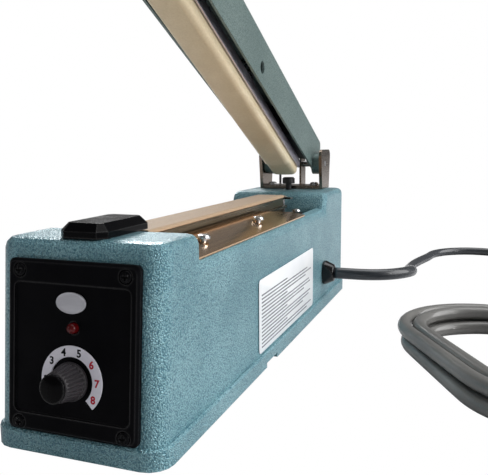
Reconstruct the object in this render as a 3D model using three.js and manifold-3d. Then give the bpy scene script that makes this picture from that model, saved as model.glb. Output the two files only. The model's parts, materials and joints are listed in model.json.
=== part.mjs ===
// A hand impulse sealer for plastic film: a cast body with a timer panel on its front, a heated
// seal bar along its top and a sprung pressing arm that is hinged on its rear block.
// Millimetres, +Z up, the panel faces -Y and the cord leaves on +X. The origin is on the table,
// under the middle of the whole without its cord. The arm is modelled open.
import * as THREE from 'three';
import { mergeVertices } from 'three/addons/utils/BufferGeometryUtils.js';
import Module from 'manifold-3d';

const wasm = await Module();
wasm.setup();

// General clearances
const gap = 0.3;
const overrun = 3;
const mergeStep = 1e-4;

// Body casting, its heights measured from its lower edge
const bodyLength = 342;
const bodyWidth = 80;
const bodyHeight = 86;
const bodyWall = 3.2;
const cornerRadius = 10;
const topEdgeRadius = 4.5;
const skirtHeight = 8.6;
const skirtProud = 1.8;
const skirtBevel = 0.9;
const frontLean = 5.3;
const frontBlockLength = 35;
const rearBlockLength = 68;
const rearFaceLean = 20;
const blockInnerRadius = 5;
const shoulderDepth = 12.4;
const shoulderDrop = 9;
const deckDepth = 26;
const deckThickness = 3.2;
const railWidth = 4.6;
const postRadius = 4.5;
const postAcross = 27;
const postSetback = 51;
const edgeNotchWidth = 19;
const edgeNotchHeight = 2.6;
const edgeNotchAlong = -36.5;

// Base plate and feet
const basePlateThickness = 1.5;
const basePlateRecess = 0.3;
const ventSlotLength = 34;
const ventSlotWidth = 2.6;
const ventSlotPitch = 7;
const ventSlotCount = 7;
const footHeight = 4;
const footRadius = 7.5;
const footTaper = 1;
const footStemRadius = 1.9;
const footStemLength = 9;
const footCupRadius = 3;
const footCupDepth = 1.8;

// Control panel, its heights measured up the leaning front from the skirt
const panelWidth = 60;
const panelHeight = 69.3;
const panelBottom = 0.5;
const panelThickness = 2.7;
const panelBevel = 1.2;
const panelCorner = 2.5;
const panelRecessDepth = 0.8;
const panelRecessWidth = 53;
const panelRecessBottom = 8;
const panelRecessTop = 60.6;
const panelScrewAcross = 24;
const panelScrewLow = 3.8;
const panelScrewHigh = 65.2;
const panelScrewHeadRadius = 2.7;
const panelScrewHeadHeight = 1.5;
const panelScrewShankRadius = 1.4;
const panelScrewShankLength = 9;
const panelScrewSink = 1.2;
const windowWidth = 42;
const windowBottom = 7.5;
const windowTop = 60.5;
const badgeWidth = 13.6;
const badgeHeight = 8.4;
const badgeThickness = 0.7;
const badgeUp = 53.6;
const badgeSides = 28;
const lampUp = 43.8;
const lampAcross = 1;
const lampRadius = 2.2;
const lampFlangeWidth = 0.7;
const lampFlangeThickness = 0.9;
const lampProud = 3.2;
const lampBodyLength = 5;
const dialUp = 23.1;
const dialAcross = 0.6;
const dialOuterRadius = 13.9;
const dialInnerRadius = 9.5;
const dialThickness = 0.5;
const dialGapAngle = 88;

// Timer knob and its potentiometer
const knobBaseRadius = 7.7;
const knobNoseRadius = 5.7;
const knobLength = 10.8;
const knobSkirtLength = 1.6;
const knobNoseBevel = 0.6;
const knobRibs = 24;
const knobRibDepth = 0.5;
const knobLift = 0.8;
const knobPocketDepth = 2.6;
const knobCapRadius = 5.6;
const knobCapThickness = 1.6;
const knobCapCrown = 0.6;
const knobCapStemRadius = 3.6;
const knobCapSink = 1;
const shaftRadius = 3;
const shaftGrip = 7.5;
const shaftEntry = 3;
const bushingRadius = 4.5;
const bushingProud = 2;
const potRadius = 8.5;
const potDepth = 9;
const potNutFlats = 10;
const potNutThickness = 1.4;
const potTagWidth = 2;
const potTagLength = 5;
const potTagPitch = 5;
const potTagThickness = 0.8;
const boardWidth = 40;
const boardHeight = 30;
const boardThickness = 1.6;
const boardStandoff = 13;
const boardUp = 42;
const boardPostRadius = 2.2;
const boardPostInset = 4;
const capacitorRadius = 5;
const capacitorLength = 12;
const triacWidth = 10;
const triacHeight = 15;
const triacThickness = 4.5;

// Cap over the front end of the seal bar
const frontCapSetback = 2.5;
const frontCapLength = 38.5;
const frontCapWidth = 22;
const frontCapHeight = 5.9;
const frontCapEdge = 2.7;
const frontCapBevel = 3;
const frontCapCut = 3.4;
const frontCapWall = 1.6;
const pegRadius = 1.6;
const pegLength = 7;

// Seal bar, heating ribbon and cloth
const barDepth = 2;
const barHalfWidth = 10;
const barFootHalfWidth = 14;
const barFootHeight = 3.5;
const barEdgeBevel = 1;
const barLipHalfWidth = 13.2;
const barLipThickness = 1.8;
const barGrooveHalfWidth = 5;
const barGrooveHeight = 14;
const barSetback = 4.3;
const barTerminalGap = 3;
const ribbonWidth = 2.6;
const ribbonThickness = 0.3;
const ribbonTurnDown = 7;
const ribbonFootLength = 6;
const clothThickness = 0.4;
const clothDrop = 1.7;
const clothTail = 16;
const clothTailFall = 1.9;
const clothTailHalfWidth = 8;

// Polished side plates
const plateThickness = 1;
const plateInnerEdge = 11.4;
const plateOuterEdge = 35.6;
const plateRise = 4.7;
const plateRearSetback = 51;
const plateCutAlong = 25;
const plateCutOuter = 28;
const plateCutInner = 14;
const plateScrewAcross = 24;
const plateScrewFrontInset = 32.9;
const plateScrewRearInset = 63.5;
const plateScrewHeadRadius = 3.3;
const plateScrewHeadHeight = 2.2;
const plateScrewShankRadius = 1.5;
const plateScrewShankLength = 7;
const plateScrewPostRadius = 4;

// Rear terminal of the heating ribbon
const terminalLength = 12;
const terminalHalfWidth = 21;
const terminalHeight = 11;
const terminalSetback = 2;
const terminalSlotWidth = 2;
const terminalSlotDepth = 3;
const terminalSlotAcross = 11;
const terminalScrewAcross = 17.5;
const terminalHeadRadius = 3.5;
const terminalHeadHeight = 2.8;
const terminalStemRadius = 1.6;
const terminalStemLength = 6;
const clampHalfWidth = 13;
const clampLength = 5;
const clampThickness = 1.4;
const clampPostRadius = 1.6;
const clampPostAcross = 6;

// Hinge on the rear block
const hingeSetback = 21;
const hingeRise = 20.5;
const pinRadius = 2.5;
const bracketThickness = 2.5;
const bracketInnerHalfWidth = 24;
const bracketShift = 2;
const bracketFootLength = 24;
const bracketTopLength = 31;
const bracketEarRise = 11.5;
const bracketEarRadius = 5;
const bracketLeafAcross = 7.2;
const bracketLeafThickness = 1.6;
const bracketLeafLength = 14;
const bracketScrewAcross = 18;
const bracketScrewAlong = 3;
const bracketScrewHeadRadius = 3.5;
const bracketScrewHeadHeight = 2.4;
const bracketScrewShankRadius = 1.8;
const bracketScrewShankLength = 9;

// Pressing arm, its lengths measured forward from the hinge pin and its drops down from it,
// both with the arm closed
const armOpenAngle = 24.7;
const armEdgeFall = 1.17;
const armFrontSetback = 1;
const armHalfWidth = 18;
const armWall = 1.5;
const armFoldRadius = 3;
const armTopRear = 24.9;
const armTopFront = 14.3;
const armEdgeDrop = 6.6;
const armLugRadius = 8;
const armBossRadius = 8.5;
const armTailLength = 10.8;
const armTailRise = 19;
const armTailTopLength = 7.5;
const armTopStart = 20;
const armNoseCut = 9;
const armHoleRadius = 3.8;
const armHoleAlong = 150.4;
const handleLength = 60;
const handleHalfWidth = 17.6;
const handleThickness = 9;
const handleCornerRadius = 8;
const handleEdgeRadius = 4;
const handlePegAcross = 10;

// Pressure bar under the arm
const padTravel = 2.5;
const padStart = 23;
const padFrontInset = 3.7;
const padHalfWidth = 10;
const padShow = 7.6;
const padCornerRadius = 3.6;
const padHeelLength = 22;
const padHeelRise = 1.2;
const padHeelRun = 1.5;
const holderHeight = 6.5;
const holderWall = 1.4;
const studFrontInset = 31;
const studRear = 130;
const studRadius = 2.5;
const studFlangeRadius = 6;
const studFlangeThickness = 1.5;
const studNutFlats = 8;
const studNutHeight = 3.4;
const studRise = 6.5;
const springRadius = 4.6;
const springWireRadius = 0.6;
const springTurns = 6;
const springSteps = 8;
const springSides = 5;
const blockStart = 17;
const blockEnd = 62;
const blockHalfWidth = 15.2;
const blockLowerEdge = 3;
const strikerHalfWidth = 4;
const strikerLength = 10;

// Arm return spring on the hinge pin
const returnSpringRadius = 6.5;
const returnWireRadius = 1;
const returnSpringTurns = 6;
const returnSpringPitch = 2.6;
const returnSpringStart = -14;
const returnSpringLegLength = 15;

// Switch under the rear block and its plunger
const plungerAhead = 16.5;
const plungerRadius = 5;
const plungerRise = 10;
const plungerTravel = 4;
const plungerCapHeight = 5;
const plungerCapBevel = 1;
const plungerStemRadius = 2.4;
const switchLength = 28;
const switchHeight = 16;
const switchThickness = 10.3;
const switchDepth = 24;
const leverThickness = 0.6;
const leverHalfWidth = 2.5;
const leverReach = 13;
const leverLength = 22;
const leverHubRadius = 1.2;
const ribThickness = 3;
const ribLength = 16;

// Transformer on the base plate
const coreLength = 57;
const coreHeadroom = 8.5;
const coreStack = 26;
const coreLimb = 19;
const coreWindowHeight = 28;
const coreAlong = 10;
const windingSwell = 8;

// Rating label place on the right side, left blank
const labelFrontSetback = 115.5;
const labelRearSetback = 109.5;
const labelBottom = 10;
const labelDepth = 35.2;
const labelThickness = 0.3;
const labelCorner = 2.5;

// Cord entry
const cordRadius = 4.2;
const reliefSetback = 73.5;
const reliefHeight = 26.3;
const reliefRadius = 9;
const reliefHalfWidth = 6.3;
const reliefProud = 8;
const reliefRim = 1.5;
const reliefNoseRadius = 6.2;
const reliefNeckRadius = 6.4;
const reliefNeckLength = 13;
const cordEntryLength = 14;

// Cord route from the entry: shares of its span across, of its span along and of its drop
const routeAcross = 150;
const routeAlong = 307;
const routeStepDiameters = 2.4;
const cordSides = 8;
const routeShares = [
  [0.047, 0, 0],
  [0.09, 0, 0],
  [0.133, 0, 0],
  [0.179, 0.004, 0],
  [0.233, 0.015, 0.004],
  [0.281, 0.033, 0.008],
  [0.318, 0.056, 0.015],
  [0.341, 0.083, 0.035],
  [0.351, 0.114, 0.077],
  [0.347, 0.155, 0.154],
  [0.332, 0.202, 0.262],
  [0.311, 0.257, 0.404],
  [0.291, 0.319, 0.565],
  [0.273, 0.391, 0.723],
  [0.262, 0.463, 0.862],
  [0.257, 0.546, 0.958],
  [0.265, 0.627, 0.995],
  [0.295, 0.708, 1],
  [0.336, 0.79, 1],
  [0.367, 0.867, 1],
  [0.455, 0.93, 1],
  [0.582, 0.966, 1],
  [0.668, 0.972, 1],
  [0.754, 0.966, 1],
  [0.881, 0.93, 1],
  [0.969, 0.867, 1],
  [1, 0.79, 1],
  [1, 0.65, 1],
  [0.967, 0.48, 1],
  [0.91, 0.3, 1],
  [0.86, 0.16, 1],
  [0.845, 0.07, 1],
];

// Spare cord, wound in a flat oval coil beside the body, and its plug
const coilAcross = 123;
const coilBack = 97.5;
const coilTurn = 26.7;
const coilTurns = 4;
const coilRunSteps = 4;
const coilBendSteps = 8;
const coilSides = 6;
const coilPitch = 8.9;
const coilLayerRise = 9;
const coilEndRadius = 52;
const coilRun = 72;
const coilTail = 26;
const tieWidth = 7;
const tieThickness = 0.6;
const restLift = 0.1;
const plugLength = 34;
const plugHalfWidth = 13;
const plugCornerRadius = 5;
const plugNeckLength = 18;
const plugNeckRadius = 6;
const bladeLength = 17;
const bladeSink = 3;
const bladeWidth = 6.3;
const bladeThickness = 1.5;
const bladeAcross = 6.35;
const bladeUp = 4.4;
const groundRadius = 2.4;
const groundDrop = 7.5;

const rad = THREE.MathUtils.degToRad;
const quarterTurn = Math.PI / 2;
const halfTurn = Math.PI;
const fullTurn = 2 * Math.PI;

// Shape tools

function solidOf(places, corners) {
  const kept = [];
  let volume = 0;
  const [a, b, c] = [new THREE.Vector3(), new THREE.Vector3(), new THREE.Vector3()];
  for (let i = 0; i < corners.length; i += 3) {
    const [i0, i1, i2] = [corners[i], corners[i + 1], corners[i + 2]];
    if (i0 === i1 || i1 === i2 || i2 === i0) continue;
    kept.push(i0, i1, i2);
    a.fromArray(places, 3 * i0);
    b.fromArray(places, 3 * i1);
    c.fromArray(places, 3 * i2);
    volume += a.dot(b.cross(c));
  }
  if (volume < 0) kept.reverse();
  const vertProperties = new Float32Array(places);
  return new wasm.Manifold(
    new wasm.Mesh({ numProp: 3, vertProperties, triVerts: new Uint32Array(kept) }),
  );
}

function toSolid(geometry) {
  const bare = geometry.clone();
  bare.deleteAttribute('normal');
  bare.deleteAttribute('uv');
  const merged = mergeVertices(bare, mergeStep);
  return solidOf(merged.attributes.position.array, merged.index.array);
}

function toGeometry(solid) {
  const mesh = solid.getMesh();
  const geometry = new THREE.BufferGeometry();
  geometry.setAttribute('position', new THREE.Float32BufferAttribute(mesh.vertProperties, 3));
  geometry.setIndex([...mesh.triVerts]);
  geometry.computeVertexNormals();
  return geometry;
}

function placed(solid, matrix) {
  return toSolid(toGeometry(solid).applyMatrix4(matrix));
}

function moved(solid, x, y, z) {
  return placed(solid, new THREE.Matrix4().makeTranslation(x, y, z));
}

function joined(...solids) {
  return solids.reduce((whole, solid) => whole.add(solid));
}

function without(solid, ...cuts) {
  return cuts.reduce((rest, cut) => rest.subtract(cut), solid);
}

// A closed skin over a row of convex outlines that all have the same number of points.
function loft(sections) {
  const count = sections[0].length;
  const places = sections.flat().flatMap((p) => [p.x, p.y, p.z]);
  const corners = [];
  for (let i = 0; i + 1 < sections.length; i += 1) {
    for (let j = 0; j < count; j += 1) {
      const next = (j + 1) % count;
      const [p, q] = [i * count + j, i * count + next];
      corners.push(p, q, q + count, p, q + count, p + count);
    }
  }
  const last = (sections.length - 1) * count;
  for (let j = 1; j + 1 < count; j += 1) {
    corners.push(0, j + 1, j);
    corners.push(last, last + j, last + j + 1);
  }
  return solidOf(places, corners);
}

// The points of a rectangle with round corners, the radii given from its lower left round to
// its upper left.
function roundedOutline(x0, x1, y0, y1, radii, steps = 4) {
  const [a, b, c, d] = Array.isArray(radii) ? radii : [radii, radii, radii, radii];
  const centres = [
    [x0 + a, y0 + a, a, halfTurn],
    [x1 - b, y0 + b, b, halfTurn + quarterTurn],
    [x1 - c, y1 - c, c, 0],
    [x0 + d, y1 - d, d, quarterTurn],
  ];
  return centres.flatMap(([x, y, r, start]) =>
    Array.from({ length: steps + 1 }, (_, i) => {
      const turn = start + (quarterTurn * i) / steps;
      return new THREE.Vector2(x + r * Math.cos(turn), y + r * Math.sin(turn));
    }),
  );
}

function flatOutline(outline, z) {
  return outline.map((p) => new THREE.Vector3(p.x, p.y, z));
}

function circleOutline(x, y, radius, sides = 24) {
  return Array.from({ length: sides }, (_, i) => {
    const turn = (fullTurn * i) / sides;
    return new THREE.Vector2(x + radius * Math.cos(turn), y + radius * Math.sin(turn));
  });
}

function arcOutline(x, y, radius, from, to, steps) {
  return Array.from({ length: steps + 1 }, (_, i) => {
    const turn = rad(from + ((to - from) * i) / steps);
    return new THREE.Vector2(x + radius * Math.cos(turn), y + radius * Math.sin(turn));
  });
}

function points(...pairs) {
  return pairs.map(([x, y]) => new THREE.Vector2(x, y));
}

function extruded(outline, depth) {
  return new THREE.ExtrudeGeometry(new THREE.Shape(outline), { depth, bevelEnabled: false });
}

// Prisms whose outline lies across Z, across X or across Y.
function prismZ(outline, z0, z1) {
  return toSolid(extruded(outline, z1 - z0).translate(0, 0, z0));
}

function prismX(outline, x0, x1) {
  const turn = new THREE.Matrix4().set(0, 0, 1, 0, 1, 0, 0, 0, 0, 1, 0, 0, 0, 0, 0, 1);
  return toSolid(extruded(outline, x1 - x0).applyMatrix4(turn).translate(x0, 0, 0));
}

function prismY(outline, y0, y1) {
  return toSolid(extruded(outline, y1 - y0).rotateX(quarterTurn).translate(0, y1, 0));
}

function box(x0, x1, y0, y1, z0, z1) {
  const geometry = new THREE.BoxGeometry(x1 - x0, y1 - y0, z1 - z0);
  return toSolid(geometry.translate((x0 + x1) / 2, (y0 + y1) / 2, (z0 + z1) / 2));
}

// A turned piece about Z, from radius and height pairs that start and end on the axis.
function turned(profile, sides = 20) {
  const outline = profile.map(([r, z]) => new THREE.Vector2(r, z));
  return toSolid(new THREE.LatheGeometry(outline, sides).rotateX(quarterTurn));
}

function rod(radius, z0, z1, sides = 20) {
  return turned([[0, z0], [radius, z0], [radius, z1], [0, z1]], sides);
}

function rodX(radius, x0, x1, y, z, sides = 20) {
  return prismX(circleOutline(y, z, radius, sides), x0, x1);
}

function rodY(radius, y0, y1, x, z, sides = 20) {
  return prismY(circleOutline(x, z, radius, sides), y0, y1);
}

function hexagon(x, y, flats) {
  return circleOutline(x, y, flats / Math.sqrt(3), 6);
}

// A round tube through a row of points, closed at both ends.
function sweptTube(route, radius, sides) {
  const tangents = route.map((p, i) => {
    const before = route[Math.max(i - 1, 0)];
    const after = route[Math.min(i + 1, route.length - 1)];
    return after.clone().sub(before).normalize();
  });
  const upright = Math.abs(tangents[0].z) > Math.SQRT1_2;
  const seed = upright ? new THREE.Vector3(1, 0, 0) : new THREE.Vector3(0, 0, 1);
  let side = new THREE.Vector3().crossVectors(tangents[0], seed);
  const sections = route.map((p, i) => {
    side = side.clone().addScaledVector(tangents[i], -side.dot(tangents[i])).normalize();
    const up = new THREE.Vector3().crossVectors(tangents[i], side);
    return Array.from({ length: sides }, (_, j) => {
      const turn = (fullTurn * j) / sides;
      const place = p.clone().addScaledVector(side, radius * Math.cos(turn));
      return place.addScaledVector(up, radius * Math.sin(turn));
    });
  });
  return loft(sections);
}

// The least distance between stretches of a wound tube that are not neighbours along it.
function leastGap(route, radius, skip) {
  let least = Infinity;
  for (let i = 0; i < route.length; i += 1) {
    for (let j = i + skip; j < route.length; j += 1) {
      least = Math.min(least, route[i].distanceTo(route[j]));
    }
  }
  return least - 2 * radius;
}

// A pan head screw that stands on z = 0 with its shank below, its head cut with a cross.
const screwCrownShare = 0.45;
const screwRimShare = 0.5;
const screwSlotShare = 0.14;
const screwSlotReachShare = 0.55;
function panScrew(headRadius, headHeight, shankRadius, shankLength) {
  const blank = turned([
    [0, -shankLength],
    [shankRadius, -shankLength],
    [shankRadius, 0],
    [headRadius, 0],
    [headRadius, headHeight * screwRimShare],
    [headRadius * (1 - screwSlotShare), headHeight * (1 - screwSlotShare)],
    [headRadius * screwCrownShare, headHeight],
    [0, headHeight],
  ], 16);
  const reach = headRadius * screwSlotReachShare;
  const half = headRadius * screwSlotShare;
  const floor = headHeight * screwRimShare;
  const top = headHeight + overrun;
  return without(
    blank,
    box(-reach, reach, -half, half, floor, top),
    box(-half, half, -reach, reach, floor, top),
  );
}

// Finishes

function finish(color, roughness, metalness = 0) {
  return new THREE.MeshStandardMaterial({ color, roughness, metalness });
}

const paint = () => finish(0x6f949a, 0.45, 0.1);
const blackPlastic = () => finish(0x17191c, 0.35);
const blackRubber = () => finish(0x1c1c1d, 0.8);
const polishedSteel = () => finish(0xd6d6d4, 0.12, 1);
const brushedSteel = () => finish(0xa9abad, 0.35, 1);
const darkSteel = () => finish(0x2c2d30, 0.5, 0.8);
const cordGrey = () => finish(0x35383b, 0.6);

function piece(group, name, solid, material) {
  const mesh = new THREE.Mesh(toGeometry(solid), material);
  mesh.name = name;
  group.add(mesh);
}

function subGroup(parent, name) {
  const group = new THREE.Group();
  group.name = name;
  parent.add(group);
  return group;
}

const sealer = new THREE.Group();
sealer.name = 'hand_impulse_sealer';
const body = subGroup(sealer, 'body');

// Lines of the body

const bodyHalfWidth = bodyWidth / 2;
const bodyHalfLength = bodyLength / 2;
const shoulderHeight = bodyHeight - shoulderDepth;
const deckHeight = bodyHeight - deckDepth;
const barTop = bodyHeight - barDepth;
const switchTop = bodyHeight - switchDepth;
const hingeHeight = bodyHeight + hingeRise;
const plungerTop = bodyHeight + plungerRise;
const hingeAlong = bodyHalfLength - hingeSetback;
const plungerAlong = hingeAlong - plungerAhead;
const postAlong = bodyHalfLength - postSetback;
const reliefAlong = bodyHalfLength - reliefSetback;
const armReach = hingeAlong + bodyHalfLength - armFrontSetback;
const faceFront = -bodyHalfLength + skirtProud;
const faceRear = bodyHalfLength - skirtProud;
const faceSide = bodyHalfWidth - skirtProud;
const frontSlope = Math.tan(rad(frontLean));
const rearSlope = Math.tan(rad(rearFaceLean));
const deckUnder = deckHeight - deckThickness;
const troughSide = plateOuterEdge - railWidth;

function frontAt(z) {
  return faceFront + Math.max(z - skirtHeight, 0) * frontSlope;
}

const frontBlockRear = frontAt(bodyHeight) + frontBlockLength;
const rearBlockFront = faceRear - rearBlockLength;

function rearBlockFrontAt(z) {
  return rearBlockFront + Math.max(z - shoulderHeight, 0) * rearSlope;
}

const plateSlope = plateRise / (plateOuterEdge - plateInnerEdge);
const plateTilt = Math.atan(plateSlope);

function plateUnderAt(x) {
  return shoulderHeight + gap + (plateOuterEdge - x) * plateSlope;
}

function faceRing(z, inset) {
  const radius = cornerRadius - skirtProud - inset;
  const side = faceSide - inset;
  return flatOutline(
    roundedOutline(-side, side, frontAt(z) + inset, faceRear - inset, radius), z);
}

function skirtRing(z, inset) {
  const side = bodyHalfWidth - inset;
  const end = bodyHalfLength - inset;
  return flatOutline(roundedOutline(-side, side, -end, end, cornerRadius - inset), z);
}

// The front and rear blocks, or the hollows inside them when they are drawn in by the wall.
function blockRing(front, rear, outerFirst, z, inset) {
  const outer = cornerRadius - skirtProud - inset;
  const inner = Math.max(blockInnerRadius - inset, gap);
  const radii = outerFirst ? [outer, outer, inner, inner] : [inner, inner, outer, outer];
  const side = faceSide - inset;
  return flatOutline(roundedOutline(-side, side, front + inset, rear - inset, radii), z);
}

function roundedTopStations(top, radius, inset) {
  return Array.from({ length: 4 }, (_, i) => {
    const turn = (quarterTurn * i) / 3;
    return [top - radius + radius * Math.sin(turn), inset + radius * (1 - Math.cos(turn))];
  });
}

function frontBlock(low, stations) {
  return loft([low, ...stations].map(([z, inset]) =>
    blockRing(frontAt(z), frontBlockRear, true, z, inset)));
}

function rearBlock(low, stations) {
  return loft([low, ...stations].map(([z, inset]) =>
    blockRing(rearBlockFrontAt(z), faceRear, false, z, inset)));
}

// The leaning front, where up is along the panel and out is away from it

const frontPlace = new THREE.Matrix4()
  .makeTranslation(0, faceFront, skirtHeight)
  .multiply(new THREE.Matrix4().makeRotationX(-rad(frontLean)));
const panelFace = subGroup(body, 'panel_face');
panelFace.applyMatrix4(frontPlace);
const panelBack = gap;
const panelOut = panelBack + panelThickness;
const panelFloor = panelOut - panelRecessDepth;
const panelScrewPlaces = [
  [-panelScrewAcross, panelScrewHigh],
  [panelScrewAcross, panelScrewHigh],
  [-panelScrewAcross, panelScrewLow],
  [panelScrewAcross, panelScrewLow],
];

// A shape in the panel's frame: outlines are across and up, depths are out from the face.
function panelPrism(outline, out0, out1) {
  return prismY(outline, -out1, -out0);
}

function panelLoft(x0, x1, z0, z1, radius, stations) {
  return loft(stations.map(([out, inset]) =>
    roundedOutline(x0 + inset, x1 - inset, z0 + inset, z1 - inset, radius).map(
      (p) => new THREE.Vector3(p.x, -out, p.y))));
}

function turnedOut(profile, x, z, sides = 24) {
  const place = new THREE.Matrix4().makeRotationX(quarterTurn).setPosition(x, 0, z);
  return placed(turned(profile, sides), place);
}

// Body casting

const postPlaces = [-1, 1].flatMap((i) => [-1, 1].map((j) => [i * postAcross, j * postAlong]));
const plateFront = frontBlockRear + gap;
const plateRear = rearBlockFront - plateRearSetback;
const plateScrewAlong = [plateFront + plateScrewFrontInset, plateRear - plateScrewRearInset];
const plateScrewPlaces = [-1, 1].flatMap((side) =>
  plateScrewAlong.map((along) => [side * plateScrewAcross, along]));
const plateScrewPostTop = plateUnderAt(plateScrewAcross + plateScrewPostRadius) - gap;
const frontCapFront = frontAt(bodyHeight) + frontCapSetback;
const frontCapRear = frontCapFront + frontCapLength;
const pegPlaces = [frontCapFront + frontCapBevel * 2, frontBlockRear - topEdgeRadius * 2];
const bracketScrewPlaces = [-1, 1].map((side) =>
  [side * bracketScrewAcross, hingeAlong - bracketScrewAlong]);
const basePlateTop = basePlateRecess + basePlateThickness;
const terminalFront = rearBlockFront - terminalSetback - terminalLength;

const railSteps = 3;
const railProfile = Array.from({ length: railSteps + 1 }, (_, i) => {
  const turn = (quarterTurn * i) / railSteps;
  return new THREE.Vector2(
    plateOuterEdge + (faceSide - plateOuterEdge) * Math.cos(turn),
    shoulderHeight - shoulderDrop + shoulderDrop * Math.sin(turn),
  );
});
const rail = [
  ...points([troughSide, deckUnder], [faceSide, deckUnder]),
  ...railProfile,
  ...points([troughSide, plateUnderAt(troughSide) - gap]),
];

function mirrored(outline) {
  return outline.map((p) => new THREE.Vector2(-p.x, p.y)).reverse();
}

const shoulderLine = shoulderHeight - shoulderDrop;
const railFront = frontBlockRear - blockInnerRadius;
const railRear = rearBlockFront + blockInnerRadius;
const shell = joined(
  without(
    joined(
      loft([
        skirtRing(0, 0),
        skirtRing(skirtHeight - skirtBevel, 0),
        skirtRing(skirtHeight, skirtBevel),
      ]),
      loft([faceRing(0, 0), faceRing(skirtHeight, 0), faceRing(shoulderLine, 0)]),
    ),
    box(-troughSide, troughSide, frontBlockRear, rearBlockFront, deckHeight, bodyHeight),
  ),
  prismY(rail, railFront, railRear),
  prismY(mirrored(rail), railFront, railRear),
  frontBlock([deckUnder, 0], roundedTopStations(bodyHeight, topEdgeRadius, 0)),
  rearBlock([shoulderHeight, 0], roundedTopStations(bodyHeight, topEdgeRadius, 0)),
  rearBlock([deckUnder, 0], [[shoulderHeight, 0]]),
);
const hollowTop = bodyHeight - bodyWall;
const hollows = [
  loft([faceRing(-overrun, bodyWall), faceRing(skirtHeight, bodyWall), faceRing(deckUnder, bodyWall)]),
  frontBlock([deckUnder - overrun, bodyWall], [[hollowTop, bodyWall]]),
  rearBlock([deckUnder - overrun, bodyWall], [[shoulderHeight, bodyWall], [hollowTop, bodyWall]]),
];
const ribInner = switchThickness / 2 + gap;
const posts = [
  ...postPlaces.map(([x, y]) => moved(
    rod(postRadius, basePlateTop + gap, y > 0 ? hollowTop + bodyWall / 2 : deckHeight), x, y, 0)),
  ...plateScrewPlaces.map(([x, y]) =>
    moved(rod(plateScrewPostRadius, deckUnder, plateScrewPostTop), x, y, 0)),
  box(ribInner, ribInner + ribThickness, plungerAlong - ribLength / 2, plungerAlong + ribLength / 2,
    switchTop - switchHeight, hollowTop + bodyWall / 2),
];
const screwHoles = [
  ...postPlaces.map(([x, y]) =>
    moved(rod(footStemRadius + gap, -overrun, footStemLength + overrun, 12), x, y, 0)),
  ...plateScrewPlaces.map(([x, y]) =>
    moved(rod(plateScrewShankRadius + gap, deckHeight + gap, plateScrewPostTop + overrun, 12), x, y, 0)),
  ...pegPlaces.map((y) =>
    moved(rod(pegRadius + gap, hollowTop - overrun, bodyHeight + overrun, 12), 0, y, 0)),
  ...bracketScrewPlaces.map(([x, y]) =>
    moved(rod(bracketScrewShankRadius + gap, hollowTop - overrun, bodyHeight + overrun, 12), x, y, 0)),
];
const reliefHoleRadius = reliefNeckRadius + gap;
const casting = without(
  joined(without(shell, ...hollows), ...posts),
  ...screwHoles,
  placed(panelPrism(roundedOutline(-windowWidth / 2, windowWidth / 2, windowBottom, windowTop, panelCorner),
    -bodyWall - overrun, overrun), frontPlace),
  ...panelScrewPlaces.map(([x, z]) => placed(
    rodY(panelScrewShankRadius + gap, -overrun, bodyWall + overrun, x, z, 12), frontPlace)),
  moved(rod(plungerStemRadius + gap, hollowTop - overrun, bodyHeight + overrun), 0, plungerAlong, 0),
  rodX(reliefHoleRadius, faceSide - bodyWall - overrun, faceSide + overrun, reliefAlong, reliefHeight),
  box(faceSide - bodyWall - overrun, bodyHalfWidth + overrun, edgeNotchAlong - edgeNotchWidth / 2,
    edgeNotchAlong + edgeNotchWidth / 2, -overrun, edgeNotchHeight),
);
piece(body, 'body_casting', casting, paint());

// Base plate and feet

const basePlateInset = bodyWall + gap;
const ventSlots = Array.from({ length: ventSlotCount }, (_, i) => {
  const y = coreAlong + (i - (ventSlotCount - 1) / 2) * ventSlotPitch;
  return prismZ(roundedOutline(-ventSlotLength / 2, ventSlotLength / 2, y - ventSlotWidth / 2,
    y + ventSlotWidth / 2, ventSlotWidth / 3, 2), basePlateRecess - overrun, basePlateTop + overrun);
});
const basePlate = without(
  prismZ(faceRing(0, basePlateInset), basePlateRecess, basePlateTop),
  ...ventSlots,
  ...postPlaces.map(([x, y]) =>
    moved(rod(footStemRadius + gap, basePlateRecess - overrun, basePlateTop + overrun, 12), x, y, 0)),
);
piece(body, 'base_plate', basePlate, darkSteel());

const footTop = basePlateRecess - gap;
const foot = without(
  turned([
    [0, -footHeight],
    [footRadius - footTaper, -footHeight],
    [footRadius, footTop],
    [footStemRadius, footTop],
    [footStemRadius, footStemLength],
    [0, footStemLength],
  ]),
  rod(footCupRadius, -footHeight - overrun, -footHeight + footCupDepth, 12),
);
postPlaces.forEach(([x, y], i) => piece(body, `rubber_foot_${i + 1}`, moved(foot, x, y, 0), blackRubber()));

// Control panel and what it carries

const panelTop = panelBottom + panelHeight;
const panelHoleRadius = bushingRadius + gap;
const panel = without(
  panelLoft(-panelWidth / 2, panelWidth / 2, panelBottom, panelTop, panelCorner,
    [[panelBack, 0], [panelOut - panelBevel, 0], [panelOut, panelBevel]]),
  panelPrism(roundedOutline(-panelRecessWidth / 2, panelRecessWidth / 2, panelRecessBottom, panelRecessTop,
    panelCorner), panelFloor, panelOut + overrun),
  rodY(panelHoleRadius, -panelOut - overrun, overrun, dialAcross, dialUp),
  rodY(lampRadius + gap, -panelOut - overrun, overrun, lampAcross, lampUp),
  ...panelScrewPlaces.flatMap(([x, z]) => [
    rodY(panelScrewShankRadius + gap, -panelOut - overrun, overrun, x, z, 12),
    rodY(panelScrewHeadRadius + gap, -panelOut - overrun, panelScrewSink - panelOut, x, z, 16),
  ]),
);
piece(panelFace, 'control_panel', panel, blackPlastic());

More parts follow.
